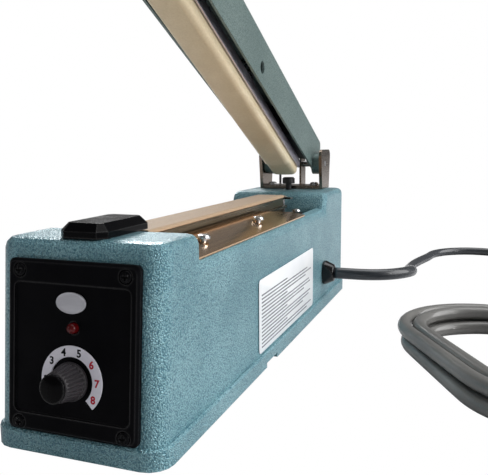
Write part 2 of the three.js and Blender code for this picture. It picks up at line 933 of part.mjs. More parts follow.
const panelScrewPlace = new THREE.Matrix4().makeRotationX(quarterTurn);
const panelScrewSeat = panelOut - panelScrewSink + gap;
panelScrewPlaces.forEach(([x, z], i) => {
  const screw = panScrew(panelScrewHeadRadius, panelScrewHeadHeight, panelScrewShankRadius,
    panelScrewShankLength);
  piece(panelFace, `panel_screw_${i + 1}`,
    moved(placed(screw, panelScrewPlace), x, -panelScrewSeat, z), polishedSteel());
});

const lampFlange = lampRadius + lampFlangeWidth;
const lampShoulder = panelFloor + lampProud - lampRadius;
const lampDome = Array.from({ length: 4 }, (_, i) => {
  const turn = (quarterTurn * i) / 4;
  return [lampRadius * Math.cos(turn), lampShoulder + lampRadius * Math.sin(turn)];
});
piece(panelFace, 'indicator_lens', turnedOut([
  [0, -lampBodyLength],
  [lampRadius, -lampBodyLength],
  [lampRadius, -lampFlangeThickness],
  [lampFlange, -lampFlangeThickness],
  [lampFlange, 0],
  [lampRadius, 0],
  ...lampDome,
  [0, lampShoulder + lampRadius],
], lampAcross, lampUp), finish(0x5a100e, 0.15));

const markBack = panelFloor + gap;
const dialStart = dialGapAngle / 2 - 90;
const dialEnd = 270 - dialGapAngle / 2;
const dialOutline = [
  ...arcOutline(dialAcross, dialUp, dialOuterRadius, dialStart, dialEnd, 28),
  ...arcOutline(dialAcross, dialUp, dialInnerRadius, dialEnd, dialStart, 28),
];
piece(panelFace, 'dial_scale', panelPrism(dialOutline, markBack, markBack + dialThickness),
  finish(0xd8d6e2, 0.5));

const badgeOutline = Array.from({ length: badgeSides }, (_, i) => {
  const turn = (fullTurn * i) / badgeSides;
  return new THREE.Vector2((badgeWidth / 2) * Math.cos(turn), badgeUp + (badgeHeight / 2) * Math.sin(turn));
});
piece(panelFace, 'badge_plate', panelPrism(badgeOutline, markBack, markBack + badgeThickness),
  finish(0xc9c9c4, 0.4));

const bushingEnd = panelFloor + bushingProud;
const potTags = [-1, 0, 1].map((i) => box(
  dialAcross + i * potTagPitch - potTagWidth / 2, dialAcross + i * potTagPitch + potTagWidth / 2,
  potDepth / 2, potDepth / 2 + potTagThickness, dialUp - potRadius - potTagLength, dialUp));
const potNut = panelPrism(hexagon(dialAcross, dialUp, potNutFlats), panelFloor + gap,
  panelFloor + gap + potNutThickness);
const potentiometer = without(
  joined(
    rodY(potRadius, 0, potDepth, dialAcross, dialUp, 28),
    rodY(bushingRadius, -bushingEnd, potDepth / 2, dialAcross, dialUp),
    potNut,
    ...potTags,
  ),
  rodY(shaftRadius + gap, -bushingEnd - overrun, shaftEntry + gap, dialAcross, dialUp),
);
piece(panelFace, 'potentiometer', potentiometer, brushedSteel());

const boardFront = boardStandoff;
const boardRear = boardStandoff + boardThickness;
const boardLow = boardUp - boardHeight / 2;
const boardHigh = boardUp + boardHeight / 2;
const boardPosts = [-1, 1].flatMap((i) => [boardLow + boardPostInset, boardHigh - boardPostInset].map(
  (z) => rodY(boardPostRadius, 0, boardRear - boardThickness / 2, i * (boardWidth / 2 - boardPostInset), z, 12)));
const triacAcross = boardWidth / 4;
const timerBoard = joined(
  box(-boardWidth / 2, boardWidth / 2, boardFront, boardRear, boardLow, boardHigh),
  ...boardPosts,
  rodY(capacitorRadius, boardRear - boardThickness / 2, boardRear + capacitorLength, -triacAcross, boardUp),
  box(triacAcross - triacWidth / 2, triacAcross + triacWidth / 2, boardRear - boardThickness / 2,
    boardRear + triacThickness, boardUp - triacHeight / 2, boardUp + triacHeight / 2),
);
piece(panelFace, 'timer_board', timerBoard, finish(0x2f5d3a, 0.6));

// Timer knob, turning on the potentiometer's shaft

const knob = subGroup(panelFace, 'timer_knob_group');
knob.position.set(dialAcross, 0, dialUp);
const knobBack = panelFloor + knobLift;
const knobFront = knobBack + knobLength;
const knobPocketRadius = potNutFlats / Math.sqrt(3) + gap;
const knobStraight = knobFront - knobNoseBevel;
const ribStart = knobBack + knobSkirtLength;
const knobBlank = turnedOut([
  [0, knobBack],
  [knobBaseRadius, knobBack],
  [knobBaseRadius, ribStart],
  [knobBaseRadius - knobRibDepth, ribStart],
  [knobNoseRadius, knobStraight],
  [knobNoseRadius - knobNoseBevel, knobFront],
  [0, knobFront],
], 0, 0, 48);
const ribDepthShare = 0.5;
const knobSlope = (knobBaseRadius - knobNoseRadius) / knobLength;
const flutes = Array.from({ length: knobRibs }, (_, i) => {
  const turn = (fullTurn * i) / knobRibs;
  const flute = rodY(knobRibDepth, -knobLength - overrun, 0, knobBaseRadius - knobRibDepth * ribDepthShare, 0, 4);
  const lean = new THREE.Matrix4().makeRotationZ(-Math.atan(knobSlope));
  const round = new THREE.Matrix4().makeRotationY(turn);
  const out = new THREE.Matrix4().makeTranslation(0, -ribStart, 0);
  return placed(flute, round.multiply(out).multiply(lean));
});
const timerKnob = without(
  knobBlank,
  ...flutes,
  rodY(knobPocketRadius, -knobBack - knobPocketDepth, -knobBack + overrun, 0, 0),
  rodY(shaftRadius + gap, -knobBack - shaftGrip - gap, -knobBack + overrun, 0, 0),
  rodY(knobCapStemRadius + gap, -knobFront - overrun, knobCapSink - knobFront, 0, 0),
);
piece(knob, 'timer_knob', timerKnob, finish(0x8e9093, 0.4));

const capBack = knobFront + gap;
piece(knob, 'knob_cap', turnedOut([
  [0, capBack - knobCapSink],
  [knobCapStemRadius, capBack - knobCapSink],
  [knobCapStemRadius, capBack],
  [knobCapRadius, capBack],
  [knobCapRadius, capBack + knobCapThickness - knobCapCrown],
  [knobCapRadius * screwCrownShare, capBack + knobCapThickness],
  [0, capBack + knobCapThickness],
], 0, 0, 28), finish(0x101113, 0.15));
piece(knob, 'timer_shaft', rodY(shaftRadius, -knobBack - shaftGrip, shaftEntry, 0, 0), brushedSteel());

// Cap over the bar's front end

function octagonRing(x, y0, y1, cut, z) {
  return flatOutline(points([x - cut, y0], [x, y0 + cut], [x, y1 - cut], [x - cut, y1],
    [cut - x, y1], [-x, y1 - cut], [-x, y0 + cut], [cut - x, y0]), z);
}

const capBase = bodyHeight + gap;
const capTop = capBase + frontCapHeight;
const capHalf = frontCapWidth / 2;
const capInnerTop = capTop - frontCapWall;
const frontCap = joined(
  without(
    loft([
      octagonRing(capHalf, frontCapFront, frontCapRear, frontCapCut, capBase),
      octagonRing(capHalf, frontCapFront, frontCapRear, frontCapCut, capBase + frontCapEdge),
      octagonRing(capHalf - frontCapBevel, frontCapFront + frontCapBevel, frontCapRear - frontCapBevel,
        frontCapCut / 2, capTop),
    ]),
    loft([
      octagonRing(capHalf - frontCapWall, frontCapFront + frontCapWall, frontCapRear - frontCapWall,
        frontCapCut, capBase - overrun),
      octagonRing(capHalf - frontCapWall, frontCapFront + frontCapWall, frontCapRear - frontCapWall,
        frontCapCut, capBase + frontCapEdge / 2),
      octagonRing(capHalf - frontCapBevel - frontCapWall, frontCapFront + frontCapBevel + frontCapWall,
        frontCapRear - frontCapBevel - frontCapWall, frontCapCut / 2, capInnerTop),
    ]),
  ),
  ...pegPlaces.map((y) => moved(rod(pegRadius, capBase - pegLength, capTop - frontCapWall / 2, 12), 0, y, 0)),
);
piece(body, 'front_cap', frontCap, blackPlastic());

// Seal bar with its ribbon and cloth

const barBase = deckHeight + gap;
const barFront = frontBlockRear + barSetback;
const barRear = terminalFront - barTerminalGap;
const barLipTop = plateUnderAt(barLipHalfWidth) - gap;
const barLipLow = barLipTop - barLipThickness;
const barHalfOutline = [
  [barGrooveHalfWidth, barBase],
  [barFootHalfWidth, barBase],
  [barFootHalfWidth, barBase + barFootHeight],
  [barHalfWidth, barBase + barFootHeight],
  [barHalfWidth, barLipLow],
  [barLipHalfWidth, barLipLow],
  [barLipHalfWidth, barLipTop],
  [barHalfWidth, barLipTop],
  [barHalfWidth, barTop - barEdgeBevel],
  [barHalfWidth - barEdgeBevel, barTop],
];
const barOutline = points(
  ...barHalfOutline,
  ...barHalfOutline.map(([x, z]) => [-x, z]).reverse(),
  [-barGrooveHalfWidth, barBase + barGrooveHeight],
  [barGrooveHalfWidth, barBase + barGrooveHeight],
);
piece(body, 'seal_bar', prismY(barOutline, barFront, barRear), brushedSteel());

const ribbonUnder = barTop + gap;
const ribbonTop = ribbonUnder + ribbonThickness;
const terminalTop = deckHeight + gap + terminalHeight;
const ribbonOutline = points(
  [barFront - gap, ribbonTop - ribbonTurnDown],
  [barFront - gap, ribbonUnder],
  [barRear + gap, ribbonUnder],
  [barRear + gap, terminalTop + gap],
  [terminalFront + ribbonFootLength, terminalTop + gap],
  [terminalFront + ribbonFootLength, terminalTop + gap + ribbonThickness],
  [barRear + gap + ribbonThickness, terminalTop + gap + ribbonThickness],
  [barRear + gap + ribbonThickness, ribbonTop],
  [barFront - gap - ribbonThickness, ribbonTop],
  [barFront - gap - ribbonThickness, ribbonTop - ribbonTurnDown],
);
piece(body, 'heating_element', prismX(ribbonOutline, -ribbonWidth / 2, ribbonWidth / 2), finish(0xb9b4ab, 0.3, 1));

const clothUnder = ribbonTop + gap;
const clothTop = clothUnder + clothThickness;
const clothInner = barHalfWidth + gap;
const clothOuter = clothInner + clothThickness;
const clothLow = clothTop - clothDrop;
const clothHalf = [
  [clothInner, clothLow],
  [clothOuter, clothLow],
  [clothOuter, clothTop - barEdgeBevel],
  [clothOuter - barEdgeBevel, clothTop],
];
const clothInside = [
  [clothInner, clothUnder - barEdgeBevel],
  [clothInner - barEdgeBevel, clothUnder],
];
const clothOutline = points(
  ...clothHalf,
  ...clothHalf.map(([x, z]) => [-x, z]).reverse(),
  ...clothInside.map(([x, z]) => [-x, z]),
  ...clothInside.reverse(),
);
const tailOutline = points(
  [barRear - gap, clothUnder],
  [barRear + clothTail, clothUnder - clothTailFall],
  [barRear + clothTail, clothTop - clothTailFall],
  [barRear - gap, clothTop],
);
const clothCover = joined(
  prismY(clothOutline, barFront + gap, barRear),
  prismX(tailOutline, -clothTailHalfWidth, clothTailHalfWidth),
);
piece(body, 'ptfe_cover', clothCover, finish(0xb39a7c, 0.7));

// Side plates and their screws

const plateUp = plateThickness / Math.cos(plateTilt);
const plateCutLine = plateRear - plateCutAlong;
[-1, 1].forEach((side) => {
  const outline = points(
    [plateInnerEdge, plateUnderAt(plateInnerEdge)],
    [plateOuterEdge, plateUnderAt(plateOuterEdge)],
    [plateOuterEdge, plateUnderAt(plateOuterEdge) + plateUp],
    [plateInnerEdge, plateUnderAt(plateInnerEdge) + plateUp],
  );
  const corner = points(
    [plateInnerEdge - overrun, plateCutLine],
    [plateCutInner, plateCutLine],
    [plateCutOuter, plateRear + overrun],
    [plateInnerEdge - overrun, plateRear + overrun],
  );
  const plate = without(
    prismY(side > 0 ? outline : mirrored(outline), plateFront, plateRear),
    prismZ(side > 0 ? corner : mirrored(corner), deckHeight, bodyHeight),
    ...plateScrewAlong.map((y) => moved(
      rod(plateScrewShankRadius + gap, deckHeight, bodyHeight, 12), side * plateScrewAcross, y, 0)),
  );
  piece(body, side > 0 ? 'side_plate_right' : 'side_plate_left', plate, polishedSteel());
});
const plateScrewSeat = plateUnderAt(plateScrewAcross - plateScrewHeadRadius) + plateUp + gap;
plateScrewPlaces.forEach(([x, y], i) => piece(body, `plate_screw_${i + 1}`, moved(
  panScrew(plateScrewHeadRadius, plateScrewHeadHeight, plateScrewShankRadius, plateScrewShankLength),
  x, y, plateScrewSeat), polishedSteel()));

// Terminal block, its screw and the clamp under the cloth's tail

const terminalBase = deckHeight + gap;
const terminalRear = terminalFront + terminalLength;
const terminalAlong = terminalFront + terminalLength / 2;
const terminal = without(
  box(-terminalHalfWidth, terminalHalfWidth, terminalFront, terminalRear, terminalBase, terminalTop),
  ...[-1, 1].map((side) => box(
    side * terminalSlotAcross - terminalSlotWidth / 2, side * terminalSlotAcross + terminalSlotWidth / 2,
    terminalFront - overrun, terminalRear + overrun, terminalTop - terminalSlotDepth, terminalTop + overrun)),
  moved(rod(terminalStemRadius + gap, terminalTop - terminalStemLength - gap, terminalTop + overrun, 12),
    terminalScrewAcross, terminalAlong, 0),
);
piece(body, 'terminal_block', terminal, blackPlastic());
piece(body, 'terminal_screw', moved(
  panScrew(terminalHeadRadius, terminalHeadHeight, terminalStemRadius, terminalStemLength),
  terminalScrewAcross, terminalAlong, terminalTop + gap), polishedSteel());

const clampRear = barRear + clothTail;
const clampTop = clothUnder - clothTailFall - gap;
const clothClamp = joined(
  box(-clampHalfWidth, clampHalfWidth, clampRear - clampLength, clampRear, clampTop - clampThickness, clampTop),
  ...[-1, 1].map((side) => moved(
    rod(clampPostRadius, terminalTop + gap, clampTop - clampThickness / 2, 12),
    side * clampPostAcross, clampRear - clampLength / 2, 0)),
);
piece(body, 'cloth_clamp', clothClamp, brushedSteel());

// Hinge bracket on the rear block, its screws, pin and return spring

const bracketBase = bodyHeight + gap;
const bracketFloor = bracketBase + bracketThickness;
const bracketOuter = bracketInnerHalfWidth + bracketThickness;
const bracketMiddle = hingeAlong + bracketShift;
const earTop = hingeHeight + bracketEarRise;
const earFoot = bracketFootLength / 2;
const earHead = bracketTopLength / 2;
const earOutline = [
  ...points([bracketMiddle - earFoot, bracketBase], [bracketMiddle + earFoot, bracketBase]),
  ...arcOutline(bracketMiddle + earHead - bracketEarRadius, earTop - bracketEarRadius, bracketEarRadius, -10, 90, 4),
  ...arcOutline(bracketMiddle - earHead + bracketEarRadius, earTop - bracketEarRadius, bracketEarRadius, 90, 190, 4),
];
const leafFar = bracketLeafAcross + bracketLeafThickness / 2;
const leafNear = bracketLeafAcross - bracketLeafThickness / 2;
const leafOutline = [
  ...points([hingeAlong - bracketLeafLength / 2, bracketBase], [hingeAlong + bracketLeafLength / 2, bracketBase]),
  ...arcOutline(hingeAlong, hingeHeight, bracketLeafLength / 2, 0, 180, 8),
];
const bracket = without(
  joined(
    box(-bracketOuter, bracketOuter, bracketMiddle - earFoot, bracketMiddle + earFoot, bracketBase, bracketFloor),
    prismX(earOutline, bracketInnerHalfWidth, bracketOuter),
    prismX(earOutline, -bracketOuter, -bracketInnerHalfWidth),
    prismX(leafOutline, leafNear, leafFar),
  ),
  rodX(pinRadius + gap, -bracketOuter - overrun, bracketOuter + overrun, hingeAlong, hingeHeight),
  ...bracketScrewPlaces.map(([x, y]) => moved(
    rod(bracketScrewShankRadius + gap, bracketBase - overrun, bracketFloor + overrun, 12), x, y, 0)),
);
piece(body, 'hinge_bracket', bracket, polishedSteel());
bracketScrewPlaces.forEach(([x, y], i) => piece(body, `bracket_screw_${i + 1}`, moved(
  panScrew(bracketScrewHeadRadius, bracketScrewHeadHeight, bracketScrewShankRadius, bracketScrewShankLength),
  x, y, bracketFloor + gap), polishedSteel()));
piece(body, 'hinge_pin', rodX(pinRadius, -bracketOuter, bracketOuter, hingeAlong, hingeHeight), brushedSteel());

const returnSteps = returnSpringTurns * springSteps;
const liftedTurn = 90 - armOpenAngle;
const returnSweep = rad(360 * (returnSpringTurns - 1) + liftedTurn);
const returnCoil = Array.from({ length: returnSteps + 1 }, (_, i) => {
  const turn = (returnSweep * i) / returnSteps;
  return new THREE.Vector3(
    returnSpringStart + (returnSpringPitch * turn) / fullTurn,
    hingeAlong + returnSpringRadius * Math.cos(turn),
    hingeHeight + returnSpringRadius * Math.sin(turn),
  );
});
const lowerLegEnd = new THREE.Vector3(
  returnSpringStart, hingeAlong + returnSpringRadius, bracketFloor + gap);
const upperLegEnd = returnCoil[returnSteps].clone().add(new THREE.Vector3(
  0, -returnSpringLegLength * Math.cos(rad(armOpenAngle)), returnSpringLegLength * Math.sin(rad(armOpenAngle))));
piece(body, 'return_spring', sweptTube([lowerLegEnd, ...returnCoil, upperLegEnd], returnWireRadius, springSides),
  darkSteel());

// Transformer, standing on the base plate

const coreBase = basePlateTop + gap;
const coreTop = deckUnder - coreHeadroom;
const coreHeight = coreTop - coreBase;
const coreWindowWidth = coreLength / 2 - coreLimb / 2 - coreLimb / 2;
const coreYoke = (coreHeight - coreWindowHeight) / 2;
const core = without(
  box(-coreStack / 2, coreStack / 2, coreAlong - coreLength / 2, coreAlong + coreLength / 2, coreBase, coreTop),
  ...[-1, 1].map((side) => {
    const middle = coreAlong + side * (coreLimb / 2 + coreWindowWidth / 2);
    return box(-coreStack / 2 - overrun, coreStack / 2 + overrun, middle - coreWindowWidth / 2,
      middle + coreWindowWidth / 2, coreBase + coreYoke, coreTop - coreYoke);
  }),
);
piece(body, 'transformer_core', core, darkSteel());
const windingAcross = coreStack / 2 + windingSwell;
const windingAlong = coreLimb / 2 + coreWindowWidth - gap;
const winding = without(
  prismZ(roundedOutline(-windingAcross, windingAcross, coreAlong - windingAlong, coreAlong + windingAlong,
    windingSwell / 2), coreBase + coreYoke + gap, coreTop - coreYoke - gap),
  box(-coreStack / 2 - gap, coreStack / 2 + gap, coreAlong - coreLimb / 2 - gap, coreAlong + coreLimb / 2 + gap,
    coreBase, coreTop),
);
piece(body, 'transformer_winding', winding, finish(0xb5622a, 0.5));

// Switch on its rib, the sprung lever and the plunger that the arm presses

const switchBody = box(-switchThickness / 2, switchThickness / 2, plungerAlong - switchLength / 2,
  plungerAlong + switchLength / 2, switchTop - switchHeight, switchTop);
piece(body, 'micro_switch', switchBody, blackPlastic());
const lever = subGroup(body, 'switch_lever_group');
const leverPivotHeight = switchTop + gap + leverHubRadius;
lever.position.set(0, plungerAlong + leverReach, leverPivotHeight);
const leverTilt = Math.atan(plungerTravel / leverReach);
lever.rotation.x = -leverTilt;
piece(lever, 'switch_lever', joined(
  rodX(leverHubRadius, -leverHalfWidth, leverHalfWidth, 0, 0, 12),
  box(-leverHalfWidth, leverHalfWidth, -leverLength, 0, -leverThickness / 2, leverThickness / 2),
), brushedSteel());

const plungerStemEnd = leverPivotHeight + plungerTravel + leverThickness / 2 / Math.cos(leverTilt)
  + plungerStemRadius * Math.tan(leverTilt) + gap;
piece(body, 'switch_plunger', moved(turned([
  [0, plungerStemEnd],
  [plungerStemRadius, plungerStemEnd],
  [plungerStemRadius, plungerTop - plungerCapHeight],
  [plungerRadius, plungerTop - plungerCapHeight],
  [plungerRadius, plungerTop - plungerCapBevel],
  [plungerRadius - plungerCapBevel, plungerTop],
  [0, plungerTop],
], 24), 0, plungerAlong, 0), blackPlastic());

// Rating label place

piece(body, 'rating_label', prismX(
  roundedOutline(labelFrontSetback - bodyHalfLength, bodyHalfLength - labelRearSetback, labelBottom,
    bodyHeight - labelDepth, labelCorner, 3),
  faceSide + gap, faceSide + gap + labelThickness), finish(0xe9e9e6, 0.55));

// Pressing arm. In its group the arm runs along -Y from the pin and its drop is -Z.

const arm = subGroup(body, 'arm');
arm.position.set(0, hingeAlong, hingeHeight);
arm.rotation.x = -rad(armOpenAngle);
const armTopSlope = (armTopRear - armTopFront) / armReach;
const armEdgeSlope = Math.tan(rad(armEdgeFall));

function armTopAt(s) {
  return armTopRear - armTopSlope * s;
}

function armEdgeAt(s) {
  return -armEdgeDrop - armEdgeSlope * s;
}

const armSide = [
  ...points(
    [-armReach, armTopAt(armReach)],
    [-armReach, armEdgeAt(armReach) + armNoseCut],
    [-armReach + armNoseCut, armEdgeAt(armReach)],
  ),
  ...arcOutline(0, 0, armLugRadius, -125, 20, 10),
  ...points(
    [armTailLength, armTailRise],
    [armTailTopLength, armTopAt(-armTailTopLength)],
  ),
];
const armEnds = [armTailLength + overrun, -armReach - overrun];
const armEnvelope = loft(armEnds.map((y) =>
  roundedOutline(-armHalfWidth, armHalfWidth, armEdgeAt(armReach) - overrun, armTopAt(-y),
    [gap, gap, armFoldRadius, armFoldRadius], 3).map((p) => new THREE.Vector3(p.x, y, p.y))));
const armInside = armHalfWidth - armWall;
const insideRadius = armFoldRadius - armWall;
const armHollow = loft(armEnds.map((y) =>
  roundedOutline(-armInside, armInside, armEdgeAt(armReach) - overrun, armTopAt(-y) - armWall,
    [gap, gap, insideRadius, insideRadius], 3).map((p) => new THREE.Vector3(p.x, y, p.y))));
const padEnd = hingeAlong - barFront - padFrontInset;
const studPlaces = [studRear, padEnd - studFrontInset];
const handlePegs = [handlePegAcross, -handlePegAcross].map((x) => [x, -armReach + handleLength / 2]);
const armBossEnd = bracketInnerHalfWidth - gap;
const channel = without(
  joined(
    without(
      prismX(armSide, -armHalfWidth, armHalfWidth).intersect(armEnvelope),
      armHollow,
      box(-armInside, armInside, -armTopStart, armTailLength + overrun, -armLugRadius - overrun,
        armTopRear + overrun),
    ),
    rodX(armBossRadius, armInside, armBossEnd, 0, 0),
    rodX(armBossRadius, -armBossEnd, -armInside, 0, 0),
  ),
  rodX(pinRadius + gap, -armBossEnd - overrun, armBossEnd + overrun, 0, 0),
  rodX(armHoleRadius, armInside - overrun, armHalfWidth + overrun, -armHoleAlong, 0),
  ...studPlaces.map((s) => moved(rod(studRadius + gap, 0, armTopRear + overrun, 16), 0, -s, 0)),
  ...handlePegs.map(([x, y]) => moved(rod(pegRadius + gap, 0, armTopRear + overrun, 12), x, y, 0)),
);
piece(arm, 'arm_channel', channel, paint());

const handleTilt = new THREE.Matrix4().makeRotationX(Math.atan(armTopSlope))
  .setPosition(0, -armReach, armTopAt(armReach) + gap);
const handleStations = [
  [0, 0],
  ...Array.from({ length: 4 }, (_, i) => {
    const turn = (quarterTurn * i) / 3;
    return [
      handleThickness - handleEdgeRadius + handleEdgeRadius * Math.sin(turn),
      handleEdgeRadius * (1 - Math.cos(turn)),
    ];
  }),
];
const handleTop = loft(handleStations.map(([z, inset]) => flatOutline(roundedOutline(
  inset - handleHalfWidth, handleHalfWidth - inset, inset, handleLength - inset,
  handleCornerRadius - inset), z)));
const handle = joined(
  placed(handleTop, handleTilt),
  ...handlePegs.map(([x, y]) => moved(
    rod(pegRadius, armTopAt(-y) - pegLength, armTopAt(-y) + handleThickness / 2, 12), x, y, 0)),
);
piece(arm, 'arm_handle', handle, blackPlastic());

// Block inside the channel with the nose that presses the plunger

const padFace = -(hingeHeight - clothTop - gap);
const strikerRear = hingeAlong - plungerAlong - strikerLength / 2;
const strikerFront = strikerRear + strikerLength;
const strikerLow = plungerTop - plungerTravel + gap - hingeHeight;
function blockTopAt(s) {
  return armTopAt(s) - armWall - gap;
}
const blockBody = prismX(points(
  [-blockEnd, blockTopAt(blockEnd)],
  [-blockEnd, -blockLowerEdge],
  [-blockStart, -blockLowerEdge],
  [-blockStart, blockTopAt(blockStart)],
), -blockHalfWidth, blockHalfWidth);
const striker = box(-strikerHalfWidth, strikerHalfWidth, -strikerFront, -strikerRear, strikerLow, 0);
piece(arm, 'channel_block', joined(blockBody, striker), blackPlastic());

// Pressure bar, its pad, studs and springs

const floatGroup = subGroup(arm, 'pressure_bar_group');
const holderLow = padFace + padShow;
const holderTop = holderLow + holderHeight;
const holderHalf = padHalfWidth + gap + holderWall;
const holderOutline = points(
  [-holderHalf, holderLow],
  [-padHalfWidth - gap, holderLow],
  [-padHalfWidth - gap, holderTop - holderWall],
  [padHalfWidth + gap, holderTop - holderWall],
  [padHalfWidth + gap, holderLow],
  [holderHalf, holderLow],
  [holderHalf, holderTop],
  [-holderHalf, holderTop],
);
piece(floatGroup, 'pressure_bar', prismY(holderOutline, -padEnd, -padStart), brushedSteel());
function padRing(s, face) {
  const top = holderTop - holderWall - gap;
  const radii = [padCornerRadius, padCornerRadius, gap, gap];
  return roundedOutline(-padHalfWidth, padHalfWidth, face, top, radii, 3).map(
    (p) => new THREE.Vector3(p.x, -s, p.y));
}

const padHeelEnd = padStart + padHeelLength;
const pad = loft([
  padRing(padEnd, padFace),
  padRing(padHeelEnd + padHeelRun, padFace),
  padRing(padHeelEnd, padFace + padHeelRise),
  padRing(padStart, padFace + padHeelRise),
]);
piece(floatGroup, 'silicone_pad', pad, finish(0xd9cfb8, 0.6));

const flangeBase = holderTop + gap;
const flangeTop = flangeBase + studFlangeThickness;
studPlaces.forEach((s, i) => {
  const webTop = armTopAt(s - studNutFlats);
  const nutBase = webTop + gap;
  const stud = joined(
    turned([
      [0, flangeBase],
      [studFlangeRadius, flangeBase],
      [studFlangeRadius, flangeTop],
      [studRadius, flangeTop],
      [studRadius, webTop + studRise],
      [0, webTop + studRise],
    ]),
    prismZ(hexagon(0, 0, studNutFlats), nutBase, nutBase + studNutHeight),
  );
  piece(floatGroup, `guide_stud_${i + 1}`, moved(stud, 0, -s, 0), polishedSteel());

  const low = flangeTop + gap + springWireRadius;
  const high = armTopAt(s + springRadius + springWireRadius) - armWall - gap - springWireRadius;
  const steps = springTurns * springSteps;
  const coil = Array.from({ length: steps + 1 }, (_, j) => {
    const turn = (fullTurn * j) / springSteps;
    return new THREE.Vector3(
      springRadius * Math.cos(turn), springRadius * Math.sin(turn) - s, low + ((high - low) * j) / steps);
  });
  piece(arm, `pressure_spring_${i + 1}`, sweptTube(coil, springWireRadius, springSides), darkSteel());
});

// Cord entry, with the cord inside it

const turnAcross = new THREE.Matrix4().makeRotationY(quarterTurn);
const reliefSeat = faceSide + gap;
const reliefBlank = placed(turned([
  [0, -reliefNeckLength],
  [reliefNeckRadius - reliefRim, -reliefNeckLength],
  [reliefNeckRadius, 0],
  [reliefRadius, 0],
  [reliefRadius, reliefRim],
  [reliefNoseRadius, reliefProud],
  [0, reliefProud],
], 24), turnAcross);
const reliefBand = box(-reliefNeckLength - overrun, reliefProud + overrun, -reliefHalfWidth, reliefHalfWidth,
  -reliefRadius, reliefRadius);
const relief = moved(without(
  reliefBlank.intersect(reliefBand),
  rodX(cordRadius + gap, -reliefNeckLength - overrun, reliefProud + overrun, 0, 0),
), reliefSeat, reliefAlong, reliefHeight);
piece(body, 'strain_relief', relief, blackRubber());

const cordExit = new THREE.Vector3(reliefSeat + reliefProud, reliefAlong, reliefHeight);
const restHeight = cordRadius + restLift - footHeight;
const coilRest = restHeight + tieThickness + gap;
const cordDrop = cordExit.z - restHeight;
const coilPlace = new THREE.Matrix4().makeRotationZ(rad(coilTurn))
  .setPosition(cordExit.x + coilAcross, cordExit.y - coilBack, coilRest);

// The oval coil: it spirals in, climbs in the half turn where it reverses and spirals out.
const coilSteps = 2 * (coilRunSteps + coilBendSteps);
const coilEnd = coilTurns * coilSteps + coilRunSteps;
const climbStart = coilEnd / 2 - coilSteps / 4;
function coilPoint(k) {
  const radius = coilEndRadius - (coilPitch * Math.min(k, coilEnd - k)) / coilSteps;
  const climb = THREE.MathUtils.clamp((2 * (k - climbStart)) / coilSteps, 0, 1);
  const step = k % coilSteps;
  const half = coilSteps / 2;
  const side = step < half ? 1 : -1;
  const within = step % half;
  const rise = climb * coilLayerRise;
  if (within < coilRunSteps) {
    const along = coilRun / 2 - (coilRun * within) / coilRunSteps;
    return new THREE.Vector3(side * radius, side * along, rise);
  }
  const turn = (halfTurn * (within - coilRunSteps)) / coilBendSteps;
  return new THREE.Vector3(
    side * radius * Math.cos(turn), side * (-coilRun / 2 - radius * Math.sin(turn)), rise);
}
const coilRoute = Array.from({ length: coilEnd + 1 }, (_, k) => coilPoint(k));
coilRoute.push(new THREE.Vector3(coilEndRadius, -coilRun / 2 - coilTail, coilLayerRise));
console.log('cord coil least gap to itself', leastGap(coilRoute, cordRadius, coilRunSteps * 3).toFixed(2));
const coilGroup = subGroup(body, 'coil_group');
coilGroup.applyMatrix4(coilPlace);
piece(coilGroup, 'cord_coil', sweptTube(coilRoute, cordRadius, coilSides), cordGrey());

const coilStart = coilRoute[0].clone().applyMatrix4(coilPlace);
const coilLead = new THREE.Vector3(0, -cordRadius * 2, 0).transformDirection(coilPlace);
const routeEnd = coilStart.clone().addScaledVector(coilLead, -gap);
const approach = coilStart.clone().addScaledVector(coilLead, -cordRadius * 4);
const cordPoints = [
  new THREE.Vector3(cordExit.x - cordEntryLength, cordExit.y, cordExit.z),
  cordExit,
  ...routeShares.map(([x, y, z]) => new THREE.Vector3(
    cordExit.x + routeAcross * x, cordExit.y + routeAlong * y, cordExit.z - cordDrop * z)),
  approach,
  routeEnd,
];
const cordCurve = new THREE.CatmullRomCurve3(cordPoints, false, 'centripetal');
const cordStep = cordRadius * 2 * routeStepDiameters;
const cordRoute = cordCurve.getSpacedPoints(Math.round(cordCurve.getLength() / cordStep));
piece(body, 'power_cord', sweptTube(cordRoute, cordRadius, cordSides), cordGrey());

// Tie round the strands of one run, and the plug on the cord's end

const tieReach = coilEndRadius + cordRadius + gap;
const tieInner = coilEndRadius - coilPitch * (coilTurns / 2) - cordRadius - coilPitch / 4;
const tieLow = -cordRadius - gap;
const tieHigh = coilLayerRise + cordRadius + gap;
const tieOutside = roundedOutline(tieInner - tieThickness, tieReach + tieThickness, tieLow - tieThickness,
  tieHigh + tieThickness, cordRadius);
const tieInside = roundedOutline(tieInner, tieReach, tieLow, tieHigh, cordRadius - tieThickness);
piece(coilGroup, 'cord_tie', without(
  prismY(tieOutside, -tieWidth / 2, tieWidth / 2),
  prismY(tieInside, -tieWidth / 2 - overrun, tieWidth / 2 + overrun),
), blackPlastic());

